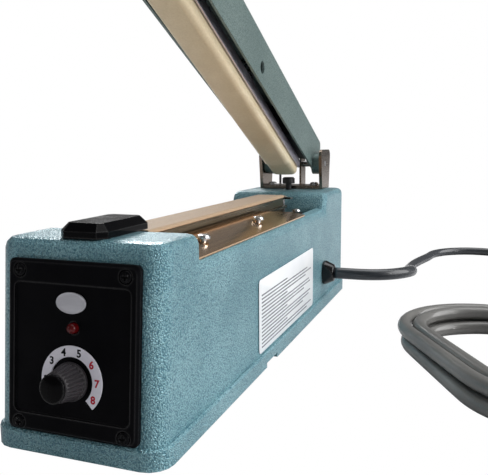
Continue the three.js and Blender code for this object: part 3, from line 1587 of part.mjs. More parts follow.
const plugGroup = subGroup(coilGroup, 'plug_group');
plugGroup.position.set(coilEndRadius, -coilRun / 2 - coilTail - gap, coilLayerRise);
const plugHalfHeight = coilLayerRise + cordRadius + tieThickness + gap;
const plugBack = -plugNeckLength;
const plugFront = plugBack - plugLength;
function plugRing(y, halfX, halfZ, radius) {
  return roundedOutline(-halfX, halfX, -halfZ, halfZ, radius).map((p) => new THREE.Vector3(p.x, y, p.y));
}
const plugShoulder = plugBack - plugCornerRadius;
const plugPockets = [-1, 1].map((side) => box(
  side * bladeAcross - bladeThickness / 2 - gap, side * bladeAcross + bladeThickness / 2 + gap,
  plugFront - overrun, plugFront + bladeSink + gap,
  bladeUp - bladeWidth / 2 - gap, bladeUp + bladeWidth / 2 + gap));
const plug = without(
  loft([
    plugRing(0, cordRadius, cordRadius, cordRadius - gap),
    plugRing(plugBack, plugNeckRadius, plugNeckRadius, plugNeckRadius - gap),
    plugRing(plugShoulder, plugHalfWidth, plugHalfHeight, plugCornerRadius),
    plugRing(plugFront, plugHalfWidth, plugHalfHeight, plugCornerRadius),
  ]),
  ...plugPockets,
  rodY(groundRadius + gap, plugFront - overrun, plugFront + bladeSink + gap, 0, -groundDrop),
);
piece(plugGroup, 'power_plug', plug, blackRubber());
[-1, 1].forEach((side) => piece(plugGroup, side > 0 ? 'plug_blade_right' : 'plug_blade_left', box(
  side * bladeAcross - bladeThickness / 2, side * bladeAcross + bladeThickness / 2,
  plugFront - bladeLength, plugFront + bladeSink, bladeUp - bladeWidth / 2, bladeUp + bladeWidth / 2),
brushedSteel()));
piece(plugGroup, 'ground_pin', rodY(groundRadius, plugFront - bladeLength, plugFront + bladeSink, 0, -groundDrop),
  brushedSteel());

// The body is set over the origin: the knob's tip and the rear, and the cord entry and the left
// side, are as far from it as each other.
const knobTip = new THREE.Vector3(dialAcross, -capBack - knobCapThickness,
  dialUp - knobCapRadius * screwCrownShare).applyMatrix4(frontPlace);
body.position.set((bodyHalfWidth - cordExit.x) / 2, -(knobTip.y + bodyHalfLength) / 2, footHeight);

export default sealer;
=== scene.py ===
"""Looks of a hand impulse sealer: a cast body, a timer panel, a heated bar and a sprung arm.

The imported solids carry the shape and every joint. This script gives each of them its finish
and puts finer surfaces over the soft, wound, turned and printed pieces. Lengths in the tables
below are in millimetres in the maker's own frames (the body, the leaning panel, the open arm),
and each frame turns them into metres in the row frame.
"""

from __future__ import annotations

import json
import logging
import math
from dataclasses import dataclass
from enum import Enum

import bmesh
import bpy
import numpy as np
from mathutils import Matrix, Vector

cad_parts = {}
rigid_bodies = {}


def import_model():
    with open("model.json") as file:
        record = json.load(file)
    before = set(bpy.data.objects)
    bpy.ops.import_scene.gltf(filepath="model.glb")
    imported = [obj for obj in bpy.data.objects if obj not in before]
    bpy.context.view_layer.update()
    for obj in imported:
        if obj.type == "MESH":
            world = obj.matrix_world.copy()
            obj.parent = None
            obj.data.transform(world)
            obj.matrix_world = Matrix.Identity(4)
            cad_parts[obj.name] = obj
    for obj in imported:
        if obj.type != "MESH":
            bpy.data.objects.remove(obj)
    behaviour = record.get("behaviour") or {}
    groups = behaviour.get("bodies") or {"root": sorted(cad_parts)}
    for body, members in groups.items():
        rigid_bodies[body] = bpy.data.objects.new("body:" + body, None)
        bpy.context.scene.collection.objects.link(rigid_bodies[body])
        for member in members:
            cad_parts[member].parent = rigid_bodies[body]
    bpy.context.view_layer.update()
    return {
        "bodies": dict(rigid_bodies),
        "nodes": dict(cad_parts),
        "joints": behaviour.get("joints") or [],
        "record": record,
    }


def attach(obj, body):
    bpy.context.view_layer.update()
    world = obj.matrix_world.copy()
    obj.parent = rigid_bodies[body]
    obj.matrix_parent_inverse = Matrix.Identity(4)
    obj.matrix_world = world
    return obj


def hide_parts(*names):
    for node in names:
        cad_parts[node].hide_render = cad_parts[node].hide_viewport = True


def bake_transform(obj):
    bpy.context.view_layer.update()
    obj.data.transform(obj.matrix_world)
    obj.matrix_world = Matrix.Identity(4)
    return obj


LOG = logging.getLogger("sealer")
MM = 0.001

# The cord's own attribute, from 0 to 1: how far its colour has turned to the paler tone that paints the
# light falling on the coil from above
PAINTED_LIGHT_SHARE = "painted_light_share"

# Distances in metres within which doubled points merge, faces collapse and loose triangles weld
MERGE_WITHIN = 1e-6
COLLAPSE_BELOW = 1e-7
WELD_WITHIN = 1e-5

Array = np.ndarray
Colour = tuple[float, float, float, float]

WHITE: Colour = (1.0, 1.0, 1.0, 1.0)


class Body(str, Enum):
    """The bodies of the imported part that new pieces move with."""

    BASE = "base"
    ARM = "arm"
    BAR = "pressure_bar_body"
    KNOB = "knob"


class Wrap(Enum):
    """Which way a surface's grid closes on itself."""

    OPEN = "open"
    AROUND = "around"
    BOTH = "both"


# Frames


@dataclass(frozen=True)
class Frame:
    """A maker's frame: an origin in millimetres in the row frame and three unit axes."""

    origin: tuple[float, float, float]
    x_axis: tuple[float, float, float] = (1.0, 0.0, 0.0)
    y_axis: tuple[float, float, float] = (0.0, 1.0, 0.0)
    z_axis: tuple[float, float, float] = (0.0, 0.0, 1.0)

    def place(self, points: Array) -> Array:
        """Turns points in this frame into metres in the row frame.

        Args:
            points: an array whose last axis holds the three coordinates in millimetres.

        Returns:
            The same array in the row frame, in metres.
        """
        axes = np.array([self.x_axis, self.y_axis, self.z_axis])
        return (np.asarray(points, float) @ axes + np.array(self.origin)) * MM


# The body frame's origin, and places in that frame that several pieces share: back and up for the
# panel's foot and the hinge pin, x, y and z for the cord's exit. Angles are in degrees.
BODY_ORIGIN = (-3.25, 5.966, 4.0)
PANEL_FOOT = (-169.2, 8.6)
PANEL_LEAN = 5.3
HINGE_PIN = (150.0, 106.5)
ARM_OPEN = 24.7
CORD_EXIT = (46.5, 97.5, 26.3)
COIL_AWAY = 123.0
COIL_HEIGHT = 5.2
COIL_TURN = 26.7

# The dial's centre in the panel's frame: across and up
DIAL_CENTRE = (0.6, 23.1)

BODY_FRAME = Frame(BODY_ORIGIN)


def tilted_frame(origin: tuple[float, float], tilt_deg: float) -> Frame:
    """A frame whose y axis points forward and is raised by an angle: x across, z square to both.

    Args:
        origin: how far its origin lies behind the body's and above it, in millimetres.
        tilt_deg: the angle of its y axis above the level.

    Returns:
        The frame.
    """
    tilt = math.radians(tilt_deg)
    back, up = origin
    return Frame(
        (BODY_ORIGIN[0], BODY_ORIGIN[1] + back, BODY_ORIGIN[2] + up),
        (1.0, 0.0, 0.0),
        (0.0, -math.cos(tilt), math.sin(tilt)),
        (0.0, math.sin(tilt), math.cos(tilt)),
    )


def turned_frame(origin: tuple[float, float, float], turn_deg: float) -> Frame:
    """A frame turned about the upright axis.

    Args:
        origin: its origin in the row frame, in millimetres.
        turn_deg: the turn of its x axis from the row frame's.

    Returns:
        The frame.
    """
    turn = math.radians(turn_deg)
    return Frame(
        origin,
        (math.cos(turn), math.sin(turn), 0.0),
        (-math.sin(turn), math.cos(turn), 0.0),
    )


PANEL = tilted_frame(PANEL_FOOT, PANEL_LEAN)
ARM = tilted_frame(HINGE_PIN, ARM_OPEN)
COIL = turned_frame((BODY_ORIGIN[0] + CORD_EXIT[0] + COIL_AWAY, BODY_ORIGIN[1], COIL_HEIGHT), COIL_TURN)


# Surfaces


def put_mesh(name: str, points: Array, faces: list[Array], smooth: bool = True) -> bpy.types.Mesh:
    """Puts vertices and polygons into a mesh as whole arrays.

    Args:
        name: the mesh's name.
        points: (n, 3) vertices in metres.
        faces: arrays of polygons, each (k, sides).
        smooth: whether the faces are shaded smooth.

    Returns:
        The filled mesh.
    """
    mesh = bpy.data.meshes.new(name)
    loops = np.concatenate([f.reshape(-1) for f in faces]).astype(np.int32)
    sizes = np.concatenate([np.full(len(f), f.shape[1]) for f in faces]).astype(np.int32)
    starts = np.concatenate([[0], np.cumsum(sizes)[:-1]]).astype(np.int32)
    mesh.vertices.add(len(points))
    mesh.vertices.foreach_set("co", np.asarray(points, np.float32).reshape(-1))
    mesh.loops.add(len(loops))
    mesh.loops.foreach_set("vertex_index", loops)
    mesh.polygons.add(len(sizes))
    mesh.polygons.foreach_set("loop_start", starts)
    mesh.polygons.foreach_set("use_smooth", np.full(len(sizes), smooth))
    mesh.update(calc_edges=True)
    mesh.validate()
    return mesh


def grid_quads(rows: int, cols: int, wrap: Wrap) -> Array:
    """Quads over a grid of points: each joins a point to the next along and across.

    Args:
        rows: how many rings of points.
        cols: how many points in a ring.
        wrap: how the grid closes.

    Returns:
        (n, 4) point numbers.
    """
    last_row = rows if wrap is Wrap.BOTH else rows - 1
    last_col = cols - 1 if wrap is Wrap.OPEN else cols
    i, j = np.meshgrid(np.arange(last_row), np.arange(last_col), indexing="ij")
    i2, j2 = (i + 1) % rows, (j + 1) % cols
    return np.stack([i * cols + j, i * cols + j2, i2 * cols + j2, i2 * cols + j], -1).reshape(-1, 4)


def skin(name: str, rings: Array, wrap: Wrap = Wrap.AROUND, caps: bool = True) -> bpy.types.Mesh:
    """A surface over a grid of points, its ends capped and its normals turned outwards.

    Args:
        name: the mesh's name.
        rings: (rows, cols, 3) points in metres; a row is one ring.
        wrap: how the grid closes.
        caps: whether the first and last ring are closed by a flat face.

    Returns:
        The mesh.
    """
    rows, cols = rings.shape[:2]
    faces = [grid_quads(rows, cols, wrap)]
    if caps:
        ends = np.arange(cols)
        faces += [ends[None, ::-1], (ends + (rows - 1) * cols)[None, :]]
    mesh = put_mesh(name, rings.reshape(-1, 3), faces)
    close_up(mesh)
    return mesh


def close_up(mesh: bpy.types.Mesh) -> None:
    """Merges doubled points, drops what collapses and turns every face outwards.

    Args:
        mesh: the mesh, which is changed in place.
    """
    work = bmesh.new()
    work.from_mesh(mesh)
    bmesh.ops.remove_doubles(work, verts=work.verts, dist=MERGE_WITHIN)
    bmesh.ops.dissolve_degenerate(work, edges=work.edges, dist=COLLAPSE_BELOW)
    bmesh.ops.recalc_face_normals(work, faces=work.faces)
    work.to_mesh(mesh)
    work.free()


def vertex_places(mesh: bpy.types.Mesh) -> Array:
    """Where a mesh's vertices are.

    Args:
        mesh: the mesh.

    Returns:
        (n, 3) places in the mesh's own units.
    """
    flat = np.zeros(len(mesh.vertices) * 3)
    mesh.vertices.foreach_get("co", flat)
    return flat.reshape(-1, 3)


def unit(vectors: Array) -> Array:
    """Each vector divided by its length."""
    return vectors / np.linalg.norm(vectors, axis=-1, keepdims=True)


def ease(share: Array) -> Array:
    """Shares from 0 to 1 that start and end gently: three times the square less twice the cube."""
    return share * share * (3 - 2 * share)


def full_turn(count: int) -> Array:
    """The angles of points evenly round a circle."""
    return np.linspace(0, 2 * math.pi, count, endpoint=False)


def tube_rings(path: Array, radius: float, sides: int, upright: Array) -> Array:
    """Rings of a round tube: centre + r (cos a side + sin a over), side = tangent x upright.

    Args:
        path: (n, 3) centre line.
        radius: its radius.
        sides: points round a ring.
        upright: a direction that the path never runs along.

    Returns:
        (n, sides, 3) ring points.
    """
    tangent = unit(np.gradient(path, axis=0))
    side = unit(np.cross(tangent, upright))
    over = np.cross(side, tangent)
    turn = full_turn(sides)
    ring = np.cos(turn)[None, :, None] * side[:, None] + np.sin(turn)[None, :, None] * over[:, None]
    return path[:, None] + radius * ring


def turned_rings(profile: Array, sides: int, frame: Frame, centre: tuple[float, float],
                 ripple: tuple[int, float, float, float]) -> Array:
    """Rings of a turned piece along the frame's y axis, with a ripple round it.

    The radius is profile r minus depth times (0.5 + 0.5 cos(count a)) squared between two heights.

    Args:
        profile: (n, 2) radius and height pairs in millimetres.
        sides: points round a ring.
        frame: the frame whose y axis is the turning axis.
        centre: x and z of the axis in the frame.
        ripple: count, depth, lowest height and highest height of the ripple.

    Returns:
        (n, sides, 3) ring points in metres.
    """
    turn = full_turn(sides)[None]
    radius = np.repeat(profile[:, :1], sides, axis=1)
    count, depth, low, high = ripple
    inside = ((profile[:, 1] >= low) & (profile[:, 1] <= high))[:, None]
    radius = radius - inside * depth * (0.5 + 0.5 * np.cos(count * turn)) ** 2
    x = centre[0] + radius * np.cos(turn)
    z = centre[1] + radius * np.sin(turn)
    y = np.repeat(profile[:, 1:2], sides, axis=1)
    return frame.place(np.stack([x, y, z], -1))


def rounded_section(half_x: float, low: float, high: float, radius: float, steps: int = 6) -> Array:
    """A rectangle across x and z with round corners: four quarter circles joined by straights.

    Args:
        half_x: half its width.
        low: its lower edge.
        high: its upper edge.
        radius: the radius of its corners.
        steps: straight pieces in a quarter circle.

    Returns:
        (n, 2) points round it.
    """
    turn = np.linspace(0, math.pi / 2, steps + 1)
    starts = np.array([math.pi, 1.5 * math.pi, 0.0, 0.5 * math.pi])
    centres = np.array([
        [-half_x + radius, low + radius], [half_x - radius, low + radius],
        [half_x - radius, high - radius], [-half_x + radius, high - radius]])
    angle = starts[:, None] + turn[None]
    points = centres[:, None] + radius * np.stack([np.cos(angle), np.sin(angle)], -1)
    return points.reshape(-1, 2)


def spline(knots: Array, step: float, between: int = 24) -> Array:
    """A centripetal Catmull-Rom curve through knots, then spaced evenly.

    Between two knots the point is the usual pyramid of three straight blends of blends, whose
    knot times grow with the square root of the distance between knots.

    Args:
        knots: (n, 3) points to pass through.
        step: the spacing wanted.
        between: points worked out from one knot to the next before they are spaced.

    Returns:
        (m, 3) evenly spaced points from the first knot to the last.
    """
    full = np.vstack([2 * knots[0] - knots[1], knots, 2 * knots[-1] - knots[-2]])
    gaps = np.sqrt(np.linalg.norm(np.diff(full, axis=0), axis=1))
    times = np.concatenate([[0], np.cumsum(gaps)])
    share = np.linspace(0, 1, between, endpoint=False)[None, :, None]
    t0, t1, t2, t3 = (times[k:len(times) - 3 + k, None, None] for k in range(4))
    p0, p1, p2, p3 = (full[k:len(full) - 3 + k, None] for k in range(4))
    t = t1 + share * (t2 - t1)
    a1 = ((t1 - t) * p0 + (t - t0) * p1) / (t1 - t0)
    a2 = ((t2 - t) * p1 + (t - t1) * p2) / (t2 - t1)
    a3 = ((t3 - t) * p2 + (t - t2) * p3) / (t3 - t2)
    b1 = ((t2 - t) * a1 + (t - t0) * a2) / (t2 - t0)
    b2 = ((t3 - t) * a2 + (t - t1) * a3) / (t3 - t1)
    curve = (((t2 - t) * b1 + (t - t1) * b2) / (t2 - t1)).reshape(-1, 3)
    return evenly(np.vstack([curve, knots[-1]]), step)


def run_lengths(path: Array) -> Array:
    """The length run along a path at each of its points."""
    return np.concatenate([[0], np.cumsum(np.linalg.norm(np.diff(path, axis=0), axis=1))])


def spaced(path: Array, count: int) -> Array:
    """The path's points moved along it so that they are the same distance apart.

    Args:
        path: (n, d) points.
        count: how many points are wanted.

    Returns:
        (count, d) points from the path's start to its end.
    """
    run = run_lengths(path)
    wanted = np.linspace(0, run[-1], count)
    return np.stack([np.interp(wanted, run, column) for column in path.T], -1)


def evenly(path: Array, step: float) -> Array:
    """The path's points moved along it until they are about one step apart."""
    return spaced(path, int(round(run_lengths(path)[-1] / step)) + 1)


def settle(path: Array, rounds: int) -> Array:
    """Smooths a path's joins: in each round a point moves half way to the middle of its neighbours.

    Args:
        path: (n, d) points.
        rounds: how many times.

    Returns:
        The smoothed path, its two ends where they were.
    """
    smooth = path.copy()
    for _ in range(rounds):
        smooth[1:-1] = 0.5 * smooth[1:-1] + 0.25 * (smooth[:-2] + smooth[2:])
    return smooth


# Shader graph tools


class Graph:
    """A short way to write a node tree."""

    def __init__(self, tree: bpy.types.NodeTree) -> None:
        """Starts on an empty tree."""
        self.tree = tree
        tree.nodes.clear()

    def node(self, kind: str, inputs: dict | None = None, **settings: object) -> bpy.types.Node:
        """Adds a node.

        Args:
            kind: Blender's node type.
            inputs: values or output sockets by input name or number.
            settings: properties of the node.

        Returns:
            The node.
        """
        made = self.tree.nodes.new(kind)
        for key, value in settings.items():
            setattr(made, key, value)
        for key, value in (inputs or {}).items():
            socket = made.inputs[key]
            if isinstance(value, bpy.types.NodeSocket):
                self.tree.links.new(value, socket)
            else:
                socket.default_value = value
        return made

    def math(self, operation: str, first: object, second: object = 0.0,
             clamp: bool = False) -> bpy.types.NodeSocket:
        """A Math node's output."""
        made = self.node("ShaderNodeMath", {0: first, 1: second}, operation=operation, use_clamp=clamp)
        return made.outputs[0]

    def vector(self, operation: str, inputs: dict) -> bpy.types.Node:
        """A Vector Math node."""
        return self.node("ShaderNodeVectorMath", inputs, operation=operation)

    def noise(self, place: object, scale: object, detail: float) -> bpy.types.Node:
        """A noise texture over a place."""
        return self.node("ShaderNodeTexNoise", {"Vector": place, "Scale": scale, "Detail": detail})

    def spread(self, value: object, span: tuple = (0.0, 1.0), low: object = 0.0,
               high: object = 1.0) -> bpy.types.NodeSocket:
        """A value whose span is spread from low to high, and held there beyond it."""
        return self.node("ShaderNodeMapRange", {"Value": value, "From Min": span[0], "From Max": span[1],
                                                "To Min": low, "To Max": high}).outputs[0]

    def mix(self, factor: object, first: object, second: object) -> bpy.types.NodeSocket:
        """Two colours blended by a factor."""
        return self.node("ShaderNodeMix", {0: factor, 6: first, 7: second}, data_type="RGBA").outputs[2]

    def group(self, tree: bpy.types.NodeTree, values: dict[str, object]) -> bpy.types.Node:
        """A shared shader group with its inputs set or linked."""
        return self.node("ShaderNodeGroup", values, node_tree=tree)

    def object_place(self) -> bpy.types.NodeSocket:
        """The Object coordinates, in metres."""
        return self.node("ShaderNodeTexCoord").outputs["Object"]


def new_group(name: str, colours: tuple[str, ...], values: tuple[str, ...],
              outputs: tuple[str, ...]) -> tuple[Graph, bpy.types.Node]:
    """An empty shader group with named sockets.

    Args:
        name: the group's name.
        colours: its colour inputs. Every finish sets all of a group's inputs.
        values: its number inputs.
        outputs: its outputs, of which "Color" carries a colour and each other one a number.

    Returns:
        The group's graph and its input node.
    """
    tree = bpy.data.node_groups.new(name, "ShaderNodeTree")
    for way, names in (("INPUT", colours + values), ("OUTPUT", outputs)):
        for key in names:
            kind = "NodeSocketColor" if key in colours + ("Color",) else "NodeSocketFloat"
            tree.interface.new_socket(key, in_out=way, socket_type=kind)
    graph = Graph(tree)
    return graph, graph.node("NodeGroupInput")


@dataclass
class Effects:
    """The shader groups that the finishes use, each built once.

    Scales are in waves a metre and the bend's shift is in metres. A span is the part of a texture's
    range that is used.
    """

    bend_scale: float = 760.0
    bend_shift: float = 0.0012
    cell_smoothness: float = 0.4
    rim_span: tuple[float, float] = (0.1, 0.75)
    patch_scale: float = 26.0
    patch_span: tuple[float, float] = (0.4, 0.62)
    most_pool: float = 0.7
    drift_weight: float = 0.7
    grain_weight: float = 0.3
    mottle_span: tuple[float, float] = (0.35, 0.65)
    rough_span: tuple[float, float] = (0.3, 0.7)
    scratch_roughness: float = 0.7
    edge_samples: int = 4

    def __post_init__(self) -> None:
        """Builds every group."""
        self.hammer = self._hammer()
        self.mottle = self._mottle()
        self.brushing = self._brushing()
        self.edges = self._edges()
        self.weave = self._weave()

    def _hammer(self) -> bpy.types.NodeTree:
        """Hammered enamel: small domed pools of paint with darker rims, on cells bent by noise.

        Returns:
            The group.
        """
        graph, given = new_group("hammered_enamel", ("Pool", "Body", "Rim"), ("Cells", "Low", "High"),
                                 ("Color", "Height", "Roughness"))
        place = graph.object_place()
        bend = graph.noise(place, self.bend_scale, 2.0)
        centred = graph.vector("SUBTRACT", {0: bend.outputs["Color"], 1: (0.5, 0.5, 0.5)})
        shift = graph.vector("SCALE", {0: centred.outputs[0], "Scale": self.bend_shift})
        bent = graph.vector("ADD", {0: place, 1: shift.outputs[0]})
        cells = graph.node("ShaderNodeTexVoronoi", {
            "Vector": bent.outputs[0], "Scale": given.outputs["Cells"],
            "Smoothness": self.cell_smoothness}, feature="SMOOTH_F1")
        rim = graph.spread(cells.outputs["Distance"], self.rim_span)
        height = graph.math("SUBTRACT", 1.0, rim)
        patches = graph.noise(place, self.patch_scale, 3.0)
        wet = graph.spread(patches.outputs["Fac"], self.patch_span, high=self.most_pool)
        paint = graph.mix(rim, given.outputs["Body"], given.outputs["Rim"])
        colour = graph.mix(graph.math("MULTIPLY", wet, height), paint, given.outputs["Pool"])
        rough = graph.spread(rim, low=given.outputs["Low"], high=given.outputs["High"])
        graph.node("NodeGroupOutput", {"Color": colour, "Height": height, "Roughness": rough})
        return graph.tree

    def _mottle(self) -> bpy.types.NodeTree:
        """A slow drift between two colours with a fine grain over it.

        Returns:
            The group.
        """
        graph, given = new_group("moulded_mottle", ("First", "Second"), ("Drift", "Grain", "Low", "High"),
                                 ("Color", "Height", "Roughness"))
        place = graph.object_place()
        drift = graph.noise(place, given.outputs["Drift"], 4.0).outputs["Fac"]
        grain = graph.noise(place, given.outputs["Grain"], 2.0).outputs["Fac"]
        both = graph.math("ADD", graph.math("MULTIPLY", drift, self.drift_weight),
                          graph.math("MULTIPLY", grain, self.grain_weight))
        tone = graph.spread(both, self.mottle_span)
        colour = graph.mix(tone, given.outputs["First"], given.outputs["Second"])
        rough = graph.spread(drift, self.rough_span, given.outputs["Low"], given.outputs["High"])
        graph.node("NodeGroupOutput", {"Color": colour, "Height": grain, "Roughness": rough})
        return graph.tree

    def _brushing(self) -> bpy.types.NodeTree:
        """Fine straight scratches: noise stretched along one axis, by scales along x, y and z.

        Returns:
            The group.
        """
        graph, given = new_group("brushed_metal", ("Metal", "Shade"),
                                 ("Along X", "Along Y", "Along Z", "Low", "High"),
                                 ("Color", "Height", "Roughness"))
        stretch = graph.node("ShaderNodeCombineXYZ", {
            axis: given.outputs[f"Along {axis}"] for axis in ("X", "Y", "Z")})
        place = graph.vector("MULTIPLY", {0: graph.object_place(), 1: stretch.outputs[0]})
        lines = graph.noise(place.outputs[0], 1.0, 3.0)
        lines.inputs["Roughness"].default_value = self.scratch_roughness
        scratch = lines.outputs["Fac"]
        colour = graph.mix(scratch, given.outputs["Shade"], given.outputs["Metal"])
        rough = graph.spread(scratch, self.rough_span, given.outputs["Low"], given.outputs["High"])
        graph.node("NodeGroupOutput", {"Color": colour, "Height": scratch, "Roughness": rough})
        return graph.tree

    def _edges(self) -> bpy.types.NodeTree:
        """Polish on worn corners.

        The weight is Coat plus Polish times one less the cosine between a face's own normal and the
        normal that it would have if its edges were rounded within Reach.

        Returns:
            The group.
        """
        graph, given = new_group("edge_polish", (), ("Coat", "Polish", "Reach"), ("Weight",))
        rounded = graph.node("ShaderNodeBevel", {"Radius": given.outputs["Reach"]},
                             samples=self.edge_samples)
        face = graph.node("ShaderNodeNewGeometry").outputs["Normal"]
        turned = graph.vector("DOT_PRODUCT", {0: rounded.outputs[0], 1: face})
        edge = graph.math("SUBTRACT", 1.0, turned.outputs["Value"], clamp=True)
        polish = graph.math("MULTIPLY", edge, given.outputs["Polish"])
        weight = graph.math("ADD", polish, given.outputs["Coat"], clamp=True)
        graph.node("NodeGroupOutput", {"Weight": weight})
        return graph.tree

    def _weave(self) -> bpy.types.NodeTree:
        """Plain woven cloth on the piece's UV map: two sets of round threads, over and under.

        Each thread is the sine of half a wave, and the two sets take turns as the sum of the whole
        threads counted across and along is odd or even.

        Returns:
            The group.
        """
        graph, given = new_group("plain_weave", ("Thread", "Between"), ("Across", "Along"),
                                 ("Color", "Height"))
        uv = graph.node("ShaderNodeSeparateXYZ", {0: graph.node("ShaderNodeTexCoord").outputs["UV"]})
        across = graph.math("MULTIPLY", uv.outputs["X"], given.outputs["Across"])
        along = graph.math("MULTIPLY", uv.outputs["Y"], given.outputs["Along"])
        warp, weft = (
            graph.math("ABSOLUTE", graph.math("SINE", graph.math("MULTIPLY", way, math.pi)))
            for way in (across, along))
        count = graph.math("ADD", graph.math("FLOOR", across), graph.math("FLOOR", along))
        parity = graph.math("PINGPONG", count, 1.0)
        over = graph.node("ShaderNodeMix", {0: parity, 2: warp, 3: weft}, data_type="FLOAT").outputs[0]
        colour = graph.mix(over, given.outputs["Between"], given.outputs["Thread"])
        graph.node("NodeGroupOutput", {"Color": colour, "Height": over})
        return graph.tree


def tint(red: int, green: int, blue: int) -> Colour:
    """A colour as it looks on screen, turned into linear light.

    Args:
        red: its red, from 0 to 255.
        green: its green, the same.
        blue: its blue, the same.

    Returns:
        Red, green and blue from 0 to 1, and 1 for opaque.
    """
    share = np.array([red, green, blue]) / 255
    linear = np.where(share <= 0.04045, share / 12.92, ((share + 0.055) / 1.055) ** 2.4)
    return (*linear.tolist(), 1.0)


# Finishes


@dataclass(frozen=True)
class Finish:
    """What every finish has: its name and the shader's own settings.

    The slot is the record's name for it, where that is another one; it is not used. The roughness counts
    only where the pattern has none. Where polish is more than 0, corners shine: the coat grows there, over
    a band of reach_mm.
    """

    name: str
    slot: str = ""
    metallic: float = 0.0
    roughness: float = 0.5
    coat: float = 0.0
    coat_roughness: float = 0.1
    specular: float = 0.5
    bump: float = 0.2
    depth_mm: float = 0.05
    polish: float = 0.0
    reach_mm: float = 1.0

    def pattern(self, graph: Graph, effects: Effects) -> bpy.types.Node:
        """The group node that gives this finish its colour and height, and as a rule its roughness."""
        raise NotImplementedError

    def build(self, effects: Effects) -> bpy.types.Material:
        """Makes the material.

        Args:
            effects: the shared shader groups.

        Returns:
            The material, its uniform values set on the shader's own sockets.
        """
        material = bpy.data.materials.new(self.name)
        material.use_nodes = True
        graph = Graph(material.node_tree)
        made = self.pattern(graph, effects)
        bump = graph.node("ShaderNodeBump", {"Height": made.outputs["Height"], "Strength": self.bump,
                                             "Distance": self.depth_mm * MM}).outputs["Normal"]
        rough = made.outputs["Roughness"] if "Roughness" in made.outputs else self.roughness
        coat = self.coat
        if self.polish:
            worn = {"Coat": self.coat, "Polish": self.polish, "Reach": self.reach_mm * MM}
            coat = graph.group(effects.edges, worn).outputs["Weight"]
        shader = graph.node("ShaderNodeBsdfPrincipled", {
            "Base Color": made.outputs["Color"], "Roughness": rough, "Metallic": self.metallic,
            "Specular IOR Level": self.specular, "Coat Weight": coat, "Coat Roughness": self.coat_roughness,
            "Normal": bump, "Coat Normal": bump})
        graph.node("ShaderNodeOutputMaterial", {"Surface": shader.outputs[0]})
        return material


@dataclass(frozen=True)
class Hammered(Finish):
    """Hammered enamel over cast or folded metal."""

    pool: Colour = tint(160, 205, 214)
    body: Colour = tint(138, 187, 197)
    rim: Colour = tint(72, 122, 137)
    cells: float = 1480.0
    low: float = 0.3
    high: float = 0.45

    def pattern(self, graph: Graph, effects: Effects) -> bpy.types.Node:
        """The shared enamel group with this paint's colours and cell size."""
        return graph.group(effects.hammer, {
            "Pool": self.pool, "Body": self.body, "Rim": self.rim, "Cells": self.cells,
            "Low": self.low, "High": self.high})


@dataclass(frozen=True)
class Moulded(Finish):
    """Moulded plastic, rubber, silicone, paper or dull metal: two close colours and a fine grain."""

    first: Colour = tint(40, 40, 42)
    second: Colour = tint(30, 30, 32)
    drift: float = 60.0
    grain: float = 1800.0
    low: float = 0.35
    high: float = 0.5

    def pattern(self, graph: Graph, effects: Effects) -> bpy.types.Node:
        """The shared mottle group with this material's colours and grain."""
        return graph.group(effects.mottle, {
            "First": self.first, "Second": self.second, "Drift": self.drift, "Grain": self.grain,
            "Low": self.low, "High": self.high})


@dataclass(frozen=True)
class PaintedLightFade(Moulded):
    """Vinyl whose colour turns to paler tones as the piece's own share rises from 0 to 1: the paler tones
    are painted light, for the coil lit from above.
    """

    # Paler tones: painted light on the coil lit from above, not the vinyl's own colour
    lit_first: Colour = tint(122, 121, 118)
    lit_second: Colour = tint(102, 101, 99)

    def pattern(self, graph: Graph, effects: Effects) -> bpy.types.Node:
        """The shared mottle group with both of its colours blended by the share towards the paler tones of
        painted light.

        Args:
            graph: the material's graph.
            effects: the shared shader groups.

        Returns:
            The group node.
        """
        made = super().pattern(graph, effects)
        share = graph.node("ShaderNodeAttribute", attribute_name=PAINTED_LIGHT_SHARE).outputs["Fac"]
        # Each colour turns towards its painted-light tone as the share rises
        light_tones = {"First": (self.first, self.lit_first), "Second": (self.second, self.lit_second)}
        for key, (own_tone, lit_tone) in light_tones.items():
            graph.tree.links.new(graph.mix(share, own_tone, lit_tone), made.inputs[key])
        return made


@dataclass(frozen=True)
class Brushed(Finish):
    """Bare or plated metal with fine scratches along one axis."""

    metal: Colour = tint(200, 200, 200)
    shade: Colour = tint(170, 170, 172)
    along: tuple[float, float, float] = (900.0, 20.0, 900.0)
    low: float = 0.2
    high: float = 0.35
    metallic: float = 1.0

    def pattern(self, graph: Graph, effects: Effects) -> bpy.types.Node:
        """The shared brushing group with this metal's tone and direction."""
        return graph.group(effects.brushing, {
            "Metal": self.metal, "Shade": self.shade, "Along X": self.along[0], "Along Y": self.along[1],
            "Along Z": self.along[2], "Low": self.low, "High": self.high})


@dataclass(frozen=True)
class Woven(Finish):
    """Coated cloth woven on the piece's own UV map."""

    thread: Colour = tint(176, 146, 110)
    between: Colour = tint(120, 92, 62)
    across: float = 60.0
    lengthwise: float = 500.0

    def pattern(self, graph: Graph, effects: Effects) -> bpy.types.Node:
        """The weave group with this cloth's threads."""
        return graph.group(effects.weave, {
            "Thread": self.thread, "Between": self.between, "Across": self.across,
            "Along": self.lengthwise})


